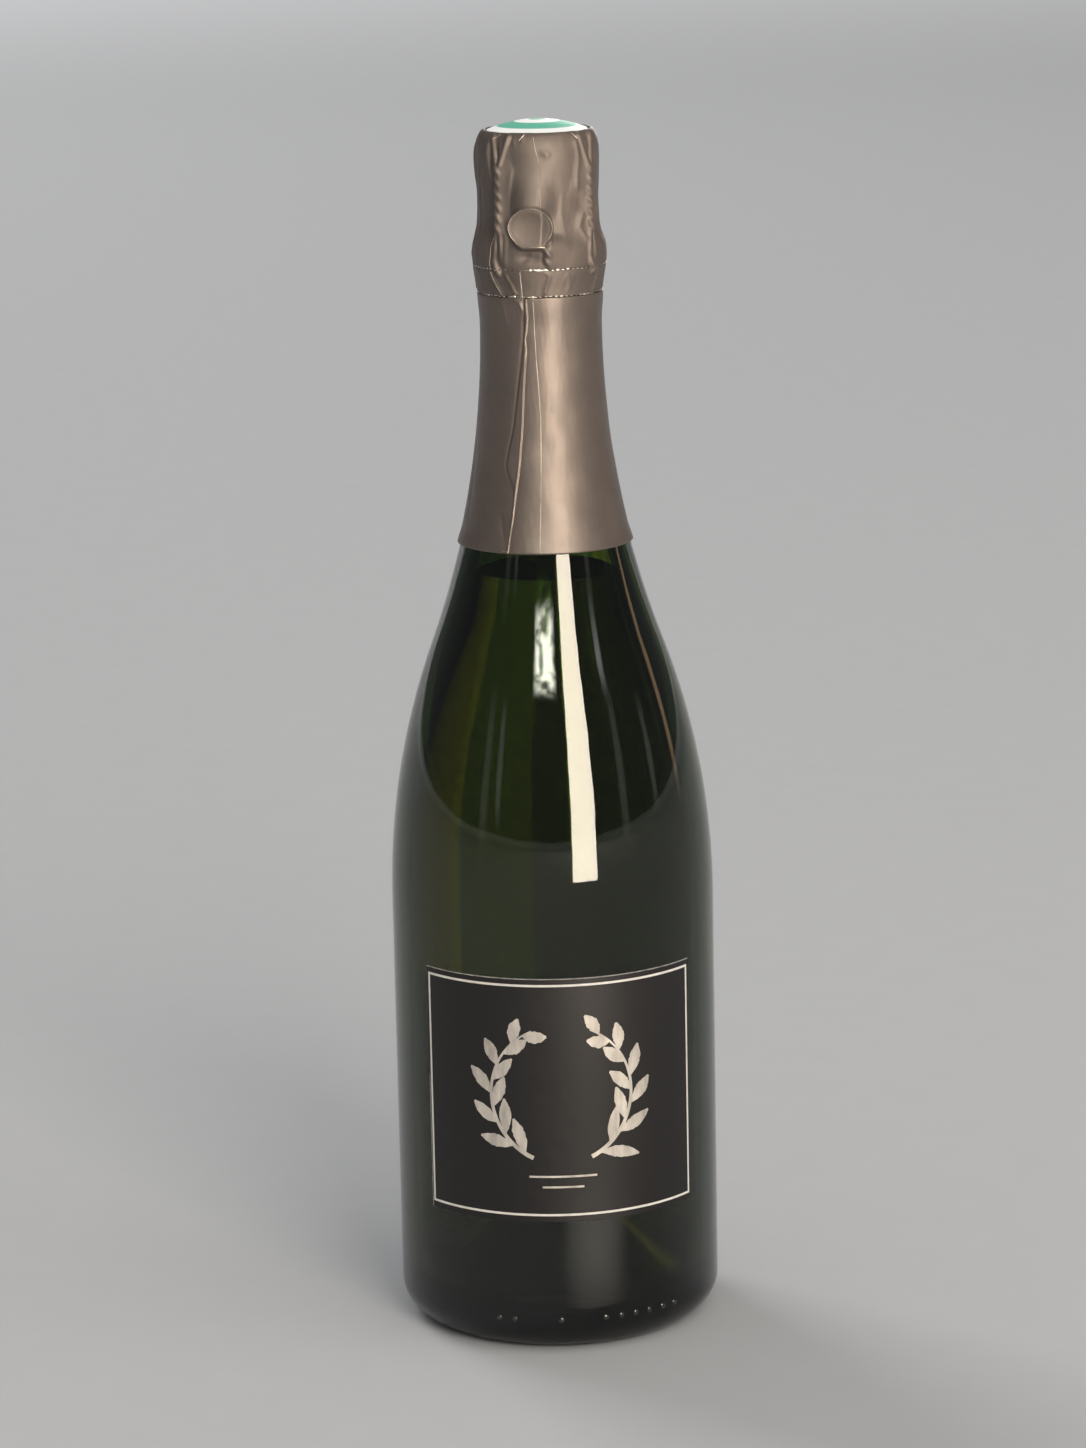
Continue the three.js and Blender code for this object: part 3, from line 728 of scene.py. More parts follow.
def makeCage():
    thick, legs, ringRadius = wires["radius"], wires["legs"], wires["ringRadius"]
    overBead = glass["beadRadius"] + wires["gap"] + thick
    overCork = cork["headRadius"] + wires["gap"] + ropeHalf
    overLip = plate["radius"] + wires["gap"] + thick
    ringFoot = ringHeight - thick
    axisRows = [
        (beltHeight, footRadius), (beadLow, overBead), (beadTop, overBead),
        (glass["mouth"] + cork["underRounding"], overCork), (twistHigh, overCork),
        (flangeTop - plate["lip"], overLip + thick / 2), (ringFoot, overLip),
    ]
    spreadRows = [
        (beltHeight, footHalf), (beadLow, footHalf), (twistLow, strandOffset), (twistHigh, strandOffset),
        (ringHeight, wires["ringSpread"]),
    ]
    turnRows = [(beltHeight, wires["footTurn"]), (beadLow, 0), (twistLow, 0), (twistHigh, wires["turns"])]
    heights = np.concatenate([
        np.linspace(ringFoot, twistHigh, 4)[:-1], np.linspace(twistHigh, twistLow, 8 * wires["turns"] + 1)[:-1],
        np.linspace(twistLow, beadLow, 4)[:-1], np.linspace(beadLow, beltHeight, 5)])
    legAngle = 360 / legs
    inset = math.degrees(wires["ringSpread"] / ringRadius)
    bend = np.radians(np.linspace(0, 180, 7)[1:-1])
    points = []
    for leg in range(legs):
        azimuth = wires["legAzimuth"] + leg * legAngle
        ring = np.linspace(azimuth + inset, azimuth + legAngle - inset, 8)
        points += list(strand(azimuth, -1, heights, axisRows, spreadRows, turnRows))
        points += list(polar(azimuth, footRadius + footHalf * np.cos(bend), beltHeight - footHalf * np.sin(bend)))
        points += list(strand(azimuth, 1, heights, axisRows, spreadRows, turnRows)[::-1])
        points += list(polar(ring, ringRadius, ringHeight))
    path = smoothLoop(points)
    piece = bendWire("cageWire", path, thick, wires["sides"], galvanised)
    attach(piece, "cage")
    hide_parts("cage_wire")
    return path


def makeBelt():
    shankAzimuth = wires["legAzimuth"] - 180 / wires["legs"]
    shankLow = beltHeight + 2 * wires["radius"]
    shankHigh = shankLow + wires["shankLength"]
    eyeCentre, eyeRadius = beltHeight + wires["eyeRise"], wires["eyeRadius"]
    overRope = glass["beadRadius"] + wires["gap"] + ropeHalf
    eyeAxis = overRope - wires["radius"] / 2
    axisRows = [(shankLow, footInner + ropeHalf), (beadLow, overRope), (shankHigh, overRope), (eyeCentre, eyeAxis)]
    spreadRows = [(shankLow, strandOffset), (shankHigh, strandOffset)]
    turnRows = [(shankLow, 0), (shankHigh, wires["shankTurns"])]
    heights = np.linspace(shankLow, shankHigh, 11)
    eyeTurn = np.radians(np.linspace(0, 270, 15))
    eyeHeights = eyeCentre + eyeRadius * np.sin(eyeTurn)
    eyeAcross = strandOffset - eyeRadius + eyeRadius * np.cos(eyeTurn)
    eyeAzimuths = shankAzimuth + np.degrees(eyeAcross / eyeAxis)
    start = math.degrees(3 * strandOffset / footInner)
    turn = np.linspace(shankAzimuth - start, shankAzimuth + start - 360, 45)
    towardsLeg = 0.5 + 0.5 * np.cos(wires["legs"] * np.radians(turn - wires["legAzimuth"]))
    pull = towardsLeg ** wires["beltPull"]
    points = list(strand(shankAzimuth, 1, heights, axisRows, spreadRows, turnRows))
    points += list(polar(eyeAzimuths, rowsAt(axisRows, eyeHeights), eyeHeights))
    points += list(strand(shankAzimuth, -1, heights, axisRows, spreadRows, turnRows)[::-1])
    points += list(polar(turn, footInner + (footRadius - footInner) * pull, beltHeight))
    path = smoothLoop(points)
    piece = bendWire("beltWire", path, wires["radius"], wires["sides"], galvanised)
    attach(piece, "cage")
    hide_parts("belt_wire")
    return path


wirePaths = np.concatenate([makeCage(), makeBelt()]) / mm
print("cage made")

# foil: what hood, strip and skirt share
foil = {
    "frontHalf": 75, "cover": 0.24, "ease": 0.07, "softPasses": 3, "lapEdge": 0.1, "lapFlat": 1.5,
    "tearRise": 0.42, "tearFolds": 5, "tearWaves": (6, 40), "upperTear": 51, "lowerTear": 57,
    "lineRadius": 0.065, "lineLift": 0.02, "linePoints": 90, "lineSides": 6,
}


def drapeOver(azimuth, outline, facing):  # how far foil stands out where it lies over the wires
    push = np.zeros((len(outline), azimuth.size))
    reach = wires["radius"] + foil["cover"]
    for x, y, z in wirePaths:
        wireRadius = math.hypot(x, y)
        offset = np.array([wireRadius, z]) - outline
        depth = (offset * facing).sum(axis=1)
        aside = (offset ** 2).sum(axis=1) - depth ** 2
        side = sideOf(azimuth, math.degrees(math.atan2(x, -y)), wireRadius)
        near = np.ix_(aside < reach ** 2, np.abs(side) < reach)
        spare = reach ** 2 - aside[near[0]] - side[near[1]] ** 2
        block = np.where(spare > 0, depth[near[0]] + np.sqrt(np.maximum(spare, 0)), 0)
        push[near] = np.maximum(push[near], block)
    return push


def restOn(push, relief):  # foil eased over the wires, hardly sinking into them
    eased = softened(np.maximum(relief, push), foil["softPasses"])
    return np.maximum(eased, push - foil["ease"])


def foldRelief(azimuth, height, radius, folds, fade=1.5):  # path of (height, azimuth), rise, width
    total = np.zeros_like(radius)
    for path, rise, width in folds:
        low, high = min(path)[0], max(path)[0]
        side = sideOf(azimuth, rowsAt(path, height), radius)
        ends = within(height, (low - fade, low + fade), (high - fade, high + fade))
        total += rise * ends * crease(side, width)
    return total


def dentRelief(azimuth, height, radius, dents):  # round dents and dimples: azimuth, height, rise, reach
    total = np.zeros_like(radius)
    for centre, middle, rise, reach in dents:
        total += rise * bell(np.hypot(sideOf(azimuth, centre, radius), height - middle), reach)
    return total


def lapOver(side, reach):  # upper layer of a lap, left of its edge
    edge = foil["lapEdge"]
    return within(side, (-reach, -foil["lapFlat"]), (-edge, edge))


def tearWave(azimuth, seed):  # how far a torn edge strays up and down
    return foil["tearRise"] * crumple(azimuth, 0.0 * azimuth, seed, foil["tearFolds"], foil["tearWaves"], 0.0)


def between(path, ends):  # evenly spaced places along a path of (height, azimuth)
    z = np.linspace(*ends, foil["linePoints"])
    return np.stack([z, rowsAt(path, z)], axis=1)


def makeFoilLines(lines, outer, heights, azimuths, body):  # pale lines lying on a wrap: cut edges, partly bare metal and partly painted highlight, and painted highlights on crests and rims
    for name, path, width in lines:
        row = np.interp(path[:, 0], heights, np.arange(len(heights)))
        column = np.interp(path[:, 1], azimuths, np.arange(len(azimuths)))
        r, c = np.minimum(row.astype(int), len(heights) - 2), np.minimum(column.astype(int), len(azimuths) - 2)
        up, along = (row - r)[:, None], (column - c)[:, None]
        low = (1 - along) * outer[r, c] + along * outer[r, c + 1]
        high = (1 - along) * outer[r + 1, c] + along * outer[r + 1, c + 1]
        spots = (1 - up) * low + up * high
        spots[:, :2] *= 1 + foil["lineLift"] * mm / np.linalg.norm(spots[:, :2], axis=1, keepdims=True)
        run = [(i, i + 1) for i in range(len(path) - 1)]
        values = {"Radius": width * foil["lineRadius"] * mm, "Sides": foil["lineSides"], "Finish": foilLineHighlight}
        piece = growPiece(name, wireTree, spots, run, values)
        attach(piece, body)


# foil hood pressed over cork, cage and eye
hood = {
    "rows": 119, "frontColumns": 216, "backColumns": 200, "thickness": 0.12,
    "profile": [  # radius, height
        (17.45, 285.76), (17.6, 287.4), (17.55, 289.4), (17.3, 291.4), (16.6, 293.4), (16.05, 295.4), (15.8, 297.8),
        (15.68, 301.7), (15.72, 306), (15.95, 310), (16.05, 312.5), (16.05, 314.5), (15.98, 316.4), (15.7, 318),
        (15.25, 319.2), (14.75, 320.1), (14.1, 320.62), (13.55, 320.55),
    ],
    "legs": [(52, 0.85, 0.3), (142, 0.35, 0.8), (232, 0.75, 0.4), (322, 0.1, 0.95)],  # azimuth, taut left and right
    "legReach": [
        (285, 17.5), (292, 17.75), (296, 18.0), (301, 17.9), (311, 17.7), (314, 17.0), (318, 16.1), (321, 13)],
    "shank": (7.5, 0.3, 0.85),
    "shankReach": [(285, 17.6), (287.5, 18.7), (290.5, 18.9), (292, 18.7), (294.5, 17), (297, 13)],
    "core": [
        (285, 17.15), (290.5, 17.05), (293, 15.8), (297, 15.3), (301, 15.5), (316, 15.5), (318.6, 14.9), (321, 13)],
    "disc": {  # the eye under the foil, cut flat below, with a tab at the right of its foot
        "azimuth": -7, "height": 296.3, "radius": 5.6, "around": 17.6, "reach": 18.62, "tilt": 0.02, "bow": 0.25,
        "dish": 0.9, "bowl": 4.6, "rim": 0.3, "rimReach": 5.35, "rimWidth": 0.3, "edge": 5.38, "blend": 0.6,
        "cut": (-5.55, -5.15), "tabLeft": (-0.5, 0.3), "tabRight": (3.5, 4.0), "tabTop": (-3, -1.5),
        "drape": 314, "drapeWidth": 5.2, "drapeInset": 0.2, "slack": 0.5,
        "hollow": (0.8, -0.6, 2.9, 288.9, 1.3),  # depth, across, width, height, reach up and down
        "crumples": [(0.025, 21, 5, (30, 90), 0.6)],
        "foot": ((291.5, -11.5), (291.4, 4.2)),
    },
    "seam": [
        (285, 1), (291.6, 1.1), (298.2, 2.3), (302.1, 1.7), (305.2, 1.3), (307.3, 1.8), (310.7, 2.3), (313.2, 1.3),
        (316.3, -1.6), (319.1, -3.4), (322, -5)],
    "seamStep": 0.05, "lapReach": 7, "lapOnDisc": 0.13, "lapFade": (4.6, 5.3),
    # short pale ticks just under the rim: painted highlights on small pleats
    "glintTicks": [
        ("hoodGlintTickLeft", [(318.7, -45.8), (320.25, -39.6)]), ("hoodGlintTickMiddle", [(318.9, -17.4), (320.25, -12.7)]),
        ("hoodGlintTickRight", [(318.8, 40.8), (320.25, 37.2)])],
    "crumples": [(0.05, 5, 6, (14, 44), 0.25), (0.075, 8, 6, (40, 110), 0.7)],
    "dimples": {
        "seed": 11, "count": 130, "heights": (288, 318), "wide": (0.7, 2.2), "tall": (1.2, 4.5), "lean": 0.4,
        "rise": (0.1, 0.3),
    },
    "pleats": {
        "azimuths": (-44, -15, 40, 75, 98, 127, 158, 176, 205, 226, 251, 274, 297), "rise": 0.2, "width": 0.35,
        "lean": 0.12, "height": 318, "foot": (315.5, 318.5), "head": (319.8, 320.6),
    },
    "folds": [
        ([(318.7, -50.6), (314.9, -51.4), (311.4, -50.8), (308, -48.2), (305.4, -44.5)], 0.8, 0.55),
        ([(295, -44.8), (292.7, -45.6), (290.3, -46.2), (287.8, -47.2), (285, -46.4)], 0.7, 0.4),
        ([(319, 38), (314.2, 40.3), (310, 37.9), (306, 38.2)], 0.4, 0.5),
        ([(300, 44), (296.2, 39.2), (293.4, 44.4), (291.5, 51)], 0.45, 0.55),
        ([(297, -34), (293, -30.5), (286, -30.5)], 0.3, 0.5),
        ([(319.1, -24), (317.5, -21.2), (316.1, -18.5), (315.6, -14.6)], 0.34, 0.4),
        ([(307.3, 7), (304.5, 8.1), (301.7, 6.7)], 0.24, 0.5),
        ([(312, -24), (304, -27), (297, -26)], 0.25, 0.9),
        ([(310, 13), (302, 11), (296, 15)], 0.22, 1.0),
        ([(309, 24), (300, 22), (291, 25)], 0.2, 1.0),
        ([(317, 66), (306, 70), (297, 67)], 0.4, 0.6),
        ([(316, 88), (303, 84), (292, 89)], -0.35, 0.8),
        ([(315, 112), (304, 116), (294, 111)], 0.45, 0.6),
        ([(317, 160), (305, 156), (293, 162)], -0.4, 0.8),
        ([(314, 178), (302, 183), (290, 180)], 0.35, 0.7),
        ([(318, 204), (306, 200), (296, 206)], 0.4, 0.6),
        ([(316, 250), (304, 246), (292, 251)], -0.45, 0.7),
        ([(317, 270), (305, 275), (293, 271)], 0.4, 0.6),
        ([(313, 290), (302, 286), (288, 291)], 0.35, 0.6),
    ],
    "valleyPower": 2.4,
    "valleys": [  # azimuth, from height, to height, depth, width
        (-44.5, 287, 316, 0.95, 1.5), (61, 296, 313, 0.45, 1.2), (134, 296, 312, 0.5, 1.2), (241, 295, 312, 0.5, 1.2)],
    "dents": [
        (-17, 317.4, -0.32, 1.1), (-22, 314.4, 0.15, 1.2), (0.5, 317.6, -0.2, 0.9), (16.8, 318.5, -0.24, 0.7),
        (9, 317.2, -0.16, 1.2), (5.5, 316, 0.18, 0.8), (9, 315.5, 0.2, 0.8), (12.5, 315.3, 0.18, 0.8),
        (17, 312.4, -0.16, 1.8), (22, 306, -0.22, 2.4), (-20, 305, -0.15, 2.2), (33, 289, -0.2, 2.0),
        (118, 300, -0.3, 2.5), (186, 309, -0.3, 2.4),
    ],
    "footFade": (285.9, 287.6), "rimFade": (319.6, 320.6), "rimCalm": 0.8, "tearFade": (285.8, 287.5),
}


def legRelief(azimuth, height, radius):  # foil drawn tight from each leg to one side, tucked in at the other
    total = np.zeros_like(radius)
    tents = [(*leg, "legReach") for leg in hood["legs"]] + [(*hood["shank"], "shankReach")]
    for leg, tautLeft, tautRight, rows in tents:
        gap = angleGap(azimuth, leg)
        reach = np.maximum(smoothTable(hood[rows], height), radius)
        span = np.degrees(np.arccos(radius / reach))
        tent = radius / np.cos(np.radians(np.clip(span - np.abs(gap), 0, span))) - radius
        total = np.maximum(total, np.where(gap < 0, tautLeft, tautRight) * tent)
    return total


def hoodFolds(azimuth, height, radius):
    dimples, pleats = hood["dimples"], hood["pleats"]
    draw = np.random.default_rng(dimples["seed"])
    total = crumpled(azimuth, height, hood["crumples"])
    for _ in range(dimples["count"]):  # soft dimples and short folds, most of them upright
        centre, middle = draw.uniform(-180, 180), draw.uniform(*dimples["heights"])
        wide, tall = draw.uniform(*dimples["wide"]), draw.uniform(*dimples["tall"])
        lean = draw.uniform(-dimples["lean"], dimples["lean"])
        rise = draw.choice([-1, 1]) * draw.uniform(*dimples["rise"])
        side = sideOf(azimuth, centre, radius) - lean * (height - middle)
        total += rise * bell(side, wide) * bell(height - middle, tall)
    for pleat in pleats["azimuths"]:
        side = sideOf(azimuth, pleat, radius) - pleats["lean"] * (height - pleats["height"])
        total += pleats["rise"] * crease(side, pleats["width"]) * within(height, pleats["foot"], pleats["head"])
    for centre, low, high, depth, width in hood["valleys"]:
        across = flatBell(sideOf(azimuth, centre, radius), width, hood["valleyPower"])
        total -= depth * across * within(height, (low - 2, low + 3), (high - 4, high + 2))
    total += foldRelief(azimuth, height, radius, hood["folds"]) + dentRelief(azimuth, height, radius, hood["dents"])
    calm = 1 - hood["rimCalm"] * smoothStep(*hood["rimFade"], height)
    return total * smoothStep(*hood["footFade"], height) * calm


def fromDisc(azimuth, height):  # how far a place lies from the middle of the eye: across, up and in all
    disc = hood["disc"]
    across, up = sideOf(azimuth, disc["azimuth"], disc["around"]), height - disc["height"]
    return across, up, np.hypot(across, up)


def discRelief(azimuth, height, radius, relief):  # the foil pressed round the eye, open below
    disc = hood["disc"]
    across, up, reach = fromDisc(azimuth, height)
    top = disc["height"] + disc["radius"]
    drape = flatBell(across, disc["drapeWidth"], 3) * within(height, (disc["height"], top), (top - 2, disc["drape"]))
    hung = drape * (disc["reach"] - disc["drapeInset"] - radius) + disc["slack"] * (1 - drape) * relief
    relief = np.maximum(relief, hung)
    face = disc["reach"] - disc["tilt"] * up - disc["dish"] * np.clip(1 - (reach / disc["bowl"]) ** 2, 0, 1)
    face += disc["bow"] * (across / disc["radius"]) ** 2
    face += disc["rim"] * bell(reach - disc["rimReach"], disc["rimWidth"])
    face += crumpled(azimuth, height, disc["crumples"])
    mask = 1 - smoothStep(disc["radius"], disc["radius"] + disc["blend"], reach)
    tab = within(across, disc["tabLeft"], disc["tabRight"]) * (1 - smoothStep(*disc["tabTop"], up))
    mask = np.maximum(mask, tab) * smoothStep(*disc["cut"], up)
    depth, middle, wide, level, tall = disc["hollow"]
    relief = relief - depth * bell(across - middle, wide) * bell(height - level, tall)
    return relief * (1 - mask) + mask * (face - radius)


def discArc(fromAngle, toAngle):  # places along the eye's rim, angles from its right side
    disc = hood["disc"]
    turn = np.radians(np.linspace(fromAngle, toAngle, foil["linePoints"]))
    across, up = disc["edge"] * np.cos(turn), disc["edge"] * np.sin(turn)
    return np.stack([disc["height"] + up, disc["azimuth"] + np.degrees(across / disc["around"])], axis=1)


def makeHood():
    azimuth = wrapColumns(foil["frontHalf"], hood["frontColumns"], hood["backColumns"])
    path = pathThrough(hood["profile"], hood["rows"])
    radius, height = (np.repeat(path[:, [k]], azimuth.size, axis=1) for k in (0, 1))
    slope = np.gradient(path, axis=0)
    slope /= np.linalg.norm(slope, axis=1, keepdims=True)
    facing = np.stack([slope[:, 1], -slope[:, 0]], axis=1)
    relief = legRelief(azimuth, height, radius) + hoodFolds(azimuth, height, radius)
    relief = np.maximum(softened(relief, 2), smoothTable(hood["core"], height) - radius)
    relief = restOn(drapeOver(azimuth[0], path, facing), relief)
    relief = discRelief(azimuth, height, radius, relief)
    onDisc = 1 - smoothStep(*hood["lapFade"], fromDisc(azimuth, height)[2])
    seamSide = sideOf(azimuth, rowsAt(hood["seam"], height), radius)
    relief += (hood["seamStep"] + hood["lapOnDisc"] * onDisc) * lapOver(seamSide, hood["lapReach"])
    lift = tearWave(azimuth, foil["upperTear"]) * (1 - smoothStep(*hood["tearFade"], height))
    outer = polar(azimuth, radius + relief * slope[:, 1:], height + lift - relief * slope[:, :1])
    piece = foilShell("foilHood", outer, hood["thickness"], creasedShadedFoil)
    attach(piece, "hood")
    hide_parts("foil_hood")
    lines = [  # name, path, width
        # the seam line is the lap's cut edge, partly bare metal and partly painted highlight; the fold crest line is a
        # painted highlight
        ("hoodSeamEdge", between(hood["seam"], (301.6, 319.6)), 1.0),
        ("hoodFoldCrest", between(hood["folds"][1][0], (286.2, 294.6)), 1.0),
        # painted highlights round the eye's raised rim and along its foot
        ("discRimHighlight", discArc(-34, 88), 1.7),
        ("discFarRimHighlight", discArc(112, 236), 1.2),
        ("discFootHighlight", np.linspace(*hood["disc"]["foot"], foil["linePoints"]), 2.2),
    ]
    # the ticks under the rim, drawn as painted highlights
    lines += [(name, between(tickPath, (tickPath[0][0], tickPath[-1][0])), 1.8) for name, tickPath in hood["glintTicks"]]
    makeFoilLines(lines, outer, path[:, 1], azimuth[0], "hood")
    return outer[0]


# tear strip between the two perforations
strip = {
    "rows": 40, "thickness": 0.12, "profile": [(278.72, 16.38), (281, 16.66), (283, 17.0), (285.6, 17.42)],
    "seamAzimuth": -16.8, "seamStep": 0.14, "lapReach": 5, "lapLean": 0.6, "lines": (279.2, 285.2),
    "crumples": [(0.12, 31, 6, (20, 70), 0.8)], "foldFade": 0.6, "footFade": (278.8, 279.6),
    "headFade": (284.8, 285.5), "upperTear": (283.5, 285.5), "lowerTear": (278.8, 280.5),
    "folds": [
        ([(285.5, -46.4), (283.7, -44.6), (281.4, -41), (279, -36.5)], 0.55, 0.4),
        ([(284.7, -31.6), (281.6, -25.6), (279, -22)], 0.4, 0.45),
        ([(284.9, -27.5), (281.8, -22.5), (279.8, -19.5)], -0.4, 0.5),
        ([(285.5, 3), (284, 8.3), (281.6, 5.9), (279, 3.5)], 0.28, 0.4),
        ([(284.5, 25), (280, 28)], 0.16, 0.7),
        ([(285.5, 62), (279, 56)], 0.35, 0.6),
        ([(285.5, 96), (279, 104)], -0.3, 0.7),
        ([(285.5, 150), (279, 141)], 0.4, 0.6),
        ([(285.5, 190), (279, 197)], 0.3, 0.6),
        ([(285.5, 236), (279, 226)], -0.35, 0.7),
        ([(285.5, 262), (279, 270)], 0.4, 0.5),
        ([(285.5, 292), (279, 299)], 0.35, 0.6),
    ],
}


def makeStrip():
    azimuth = wrapColumns(foil["frontHalf"], hood["frontColumns"], hood["backColumns"])
    rows = np.linspace(strip["profile"][0][0], strip["profile"][-1][0], strip["rows"])
    height = np.repeat(rows[:, None], azimuth.size, axis=1)
    radius = smoothTable(strip["profile"], height)
    relief = crumpled(azimuth, height, strip["crumples"])
    relief += foldRelief(azimuth, height, radius, strip["folds"], strip["foldFade"])
    relief *= within(height, strip["footFade"], strip["headFade"])
    outline = np.stack([radius[:, 0], rows], axis=1)
    relief = restOn(drapeOver(azimuth[0], outline, np.array([[1.0, 0.0]])), relief)
    seam, lean = strip["seamAzimuth"], strip["lapLean"]
    relief += strip["seamStep"] * lapOver(sideOf(azimuth, seam, radius), strip["lapReach"])
    lift = tearWave(azimuth, foil["upperTear"]) * smoothStep(*strip["upperTear"], height)
    lift += tearWave(azimuth, foil["lowerTear"]) * (1 - smoothStep(*strip["lowerTear"], height))
    outer = polar(azimuth, radius + relief, height + lift)
    # pale lines on the strip: its lap edge, partly bare cut metal and partly painted highlight, and a painted
    # highlight along a fold crest
    lapEdge = between([(278, seam + lean), (286, seam - lean)], strip["lines"])
    crest = between(strip["folds"][0][0], strip["lines"])
    lines = [("stripLapEdge", lapEdge, 1.0), ("stripFoldCrest", crest, 1.0)]
    makeFoilLines(lines, outer, rows, azimuth[0], "bottle")
    piece = foilShell("tearStrip", outer, strip["thickness"], creasedShadedFoil)
    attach(piece, "bottle")
    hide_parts("tear_strip")
    return outer[0]


# foil skirt down the neck, with a folded pleat and a lapped seam
skirt = {
    "rows": 127, "frontColumns": 280, "backColumns": 110, "thickness": 0.15, "top": 278.6, "bottom": 212.4,
    "cover": 0.5, "deepest": -0.3, "headFlare": 0.5, "headFrom": (270, 278.6), "footFlare": 0.35,
    "footFrom": (212, 217), "topFade": (279.6, 278), "tearFade": (276.5, 278.5), "tearDrop": 0.12,
    "crumples": [(0.045, 41, 6, (6, 30), 0.12), (0.028, 43, 6, (30, 80), 0.5)],
    "pleat": [
        (212, -24.9), (216.8, -24.6), (221, -23.3), (225.4, -22.4), (229.7, -21.1), (235, -19.5), (244.5, -17.7),
        (256, -16.3), (265.1, -13.9), (267.5, -15.0), (269.9, -13.2), (273.3, -11.9), (279, -13)],
    "flap": [
        (212, -25.6), (226, -23.4), (229.5, -24), (231.6, -27.4), (234.5, -30.9), (238.8, -29.1), (244.5, -25.4),
        (256, -20.9), (265, -17), (267, -15.8), (279, -13.6)],
    "lap": [
        (212, -3.7), (220.6, -3.1), (227.8, -2.7), (237.4, -2), (246.5, -1.8), (254.1, -3), (262.7, -5),
        (270.9, -6.2), (279, -6.8)],
    "pleatRise": 0.36, "pleatEdge": 0.15, "crestRise": 0.05, "crestInset": 0.25, "crestWidth": 0.3,
    "grooveDepth": 0.14, "grooveWidth": 0.45, "grooveFrom": (229, 234), "lapRise": 0.05, "lapFrom": (0, 0.6),
    "glint": ((212.95, -29.6), (212.9, -25.0)),
    "folds": [
        ([(279, -28), (277.1, -19.5), (275, -16.5)], 0.3, 0.4),
        ([(279, -38.5), (275.7, -35.5), (271, -33)], 0.22, 0.6),
        ([(222, -34), (216, -29.5)], -0.3, 0.8),
        ([(279, 62), (270, 66)], 0.2, 0.7),
        ([(279, 128), (262, 121)], 0.25, 0.8),
        ([(250, 176), (226, 168)], 0.22, 1.2),
        ([(279, 214), (264, 219)], 0.25, 0.8),
        ([(240, 282), (219, 288)], -0.22, 1.2),
    ],
    "dents": [
        (9, 249.4, 0.13, 0.45), (22, 262, -0.26, 5.0), (-1, 271, -0.2, 2.8), (21, 247, -0.24, 3.2),
        (1, 239.5, -0.22, 3.6), (17, 230, -0.27, 4.2), (4, 224.5, 0.12, 3.0), (27, 271, -0.12, 4.0),
        (2, 219, -0.06, 4.0), (-38, 246, -0.12, 4.5), (-44, 224, -0.12, 5.0), (20, 222, 0.07, 4.5),
        (80, 240, -0.14, 6.0), (150, 255, -0.14, 6.0), (220, 235, -0.14, 6.0), (300, 258, -0.12, 5.5),
    ],
}


def pleatRelief(azimuth, height, radius):  # the flap folded to the left, its crest and groove, and the lap
    side = {k: sideOf(azimuth, rowsAt(skirt[k], height), radius) for k in ("pleat", "flap", "lap")}
    edge, groove = (-skirt["pleatEdge"], skirt["pleatEdge"]), skirt["grooveWidth"]
    relief = skirt["pleatRise"] * smoothStep(*edge, side["flap"]) * (1 - smoothStep(*edge, side["pleat"]))
    relief += skirt["crestRise"] * bell(side["pleat"] + skirt["crestInset"], skirt["crestWidth"])
    relief -= skirt["grooveDepth"] * bell(side["flap"] + groove, groove) * smoothStep(*skirt["grooveFrom"], height)
    overlap = 1 - smoothStep(-foil["lapEdge"], foil["lapEdge"], side["lap"])
    return relief + skirt["lapRise"] * overlap * smoothStep(*skirt["lapFrom"], side["pleat"])


def makeSkirt():
    azimuth = wrapColumns(foil["frontHalf"], skirt["frontColumns"], skirt["backColumns"])
    rows = np.linspace(skirt["bottom"], skirt["top"], skirt["rows"])
    height = np.repeat(rows[:, None], azimuth.size, axis=1)
    radius = outside(height) + skirt["cover"] + skirt["headFlare"] * smoothStep(*skirt["headFrom"], height)
    radius += skirt["footFlare"] * (1 - smoothStep(*skirt["footFrom"], height))
    relief = crumpled(azimuth, height, skirt["crumples"]) + pleatRelief(azimuth, height, radius)
    relief += foldRelief(azimuth, height, radius, skirt["folds"]) + dentRelief(azimuth, height, radius, skirt["dents"])
    relief = np.maximum(relief, skirt["deepest"]) * smoothStep(*skirt["topFade"], height)
    lift = (tearWave(azimuth, foil["lowerTear"]) - skirt["tearDrop"]) * smoothStep(*skirt["tearFade"], height)
    outer = polar(azimuth, radius + relief, height + lift)
    piece = foilShell("foilSkirt", outer, skirt["thickness"], taupeFoil)
    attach(piece, "bottle")
    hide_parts("foil_skirt")
    # pale lines on the skirt: the lap edge and the pleat's edge, partly bare cut metal and partly painted highlight;
    # the pleat glint is a painted glint
    lines = [
        ("skirtLapEdge", between(skirt["lap"], (212.6, 277.6)), 1.0),
        ("skirtPleatFoot", between(skirt["pleat"], (212.6, 233)), 1.0),
        ("skirtPleatGlint", np.linspace(*skirt["glint"], foil["linePoints"]), 2.2),
        ("skirtPleatHead", between(skirt["pleat"], (262, 277.6)), 1.0),
    ]
    makeFoilLines(lines, outer, rows, azimuth[0], "bottle")


hoodEdge = makeHood()
stripEdge = makeStrip()
makeSkirt()

# perforations: torn lips of bare metal along the two lines, with larger crumbs at the front
torn = {
    "pitch": 1.42, "lip": (0.95, 0.3, 0.3), "crumb": (1.5, 0.45, 0.5), "vary": 0.5,
    "hoodCrumbs": (-15, -12.5, -8, -4.5, -1.5, 1.5, 5), "stripCrumbs": (-28, -24, -19, -15, -11, -7, 46, 52),
}


def evenlyAlong(edge):
    loop = np.concatenate([edge, edge[:1]])
    run = np.concatenate([[0], np.cumsum(np.linalg.norm(np.diff(loop, axis=0), axis=1))])
    count = int(run[-1] / (torn["pitch"] * mm))
    return np.stack([np.interp(np.arange(count) * run[-1] / count, run, loop[:, k]) for k in range(3)], axis=1)


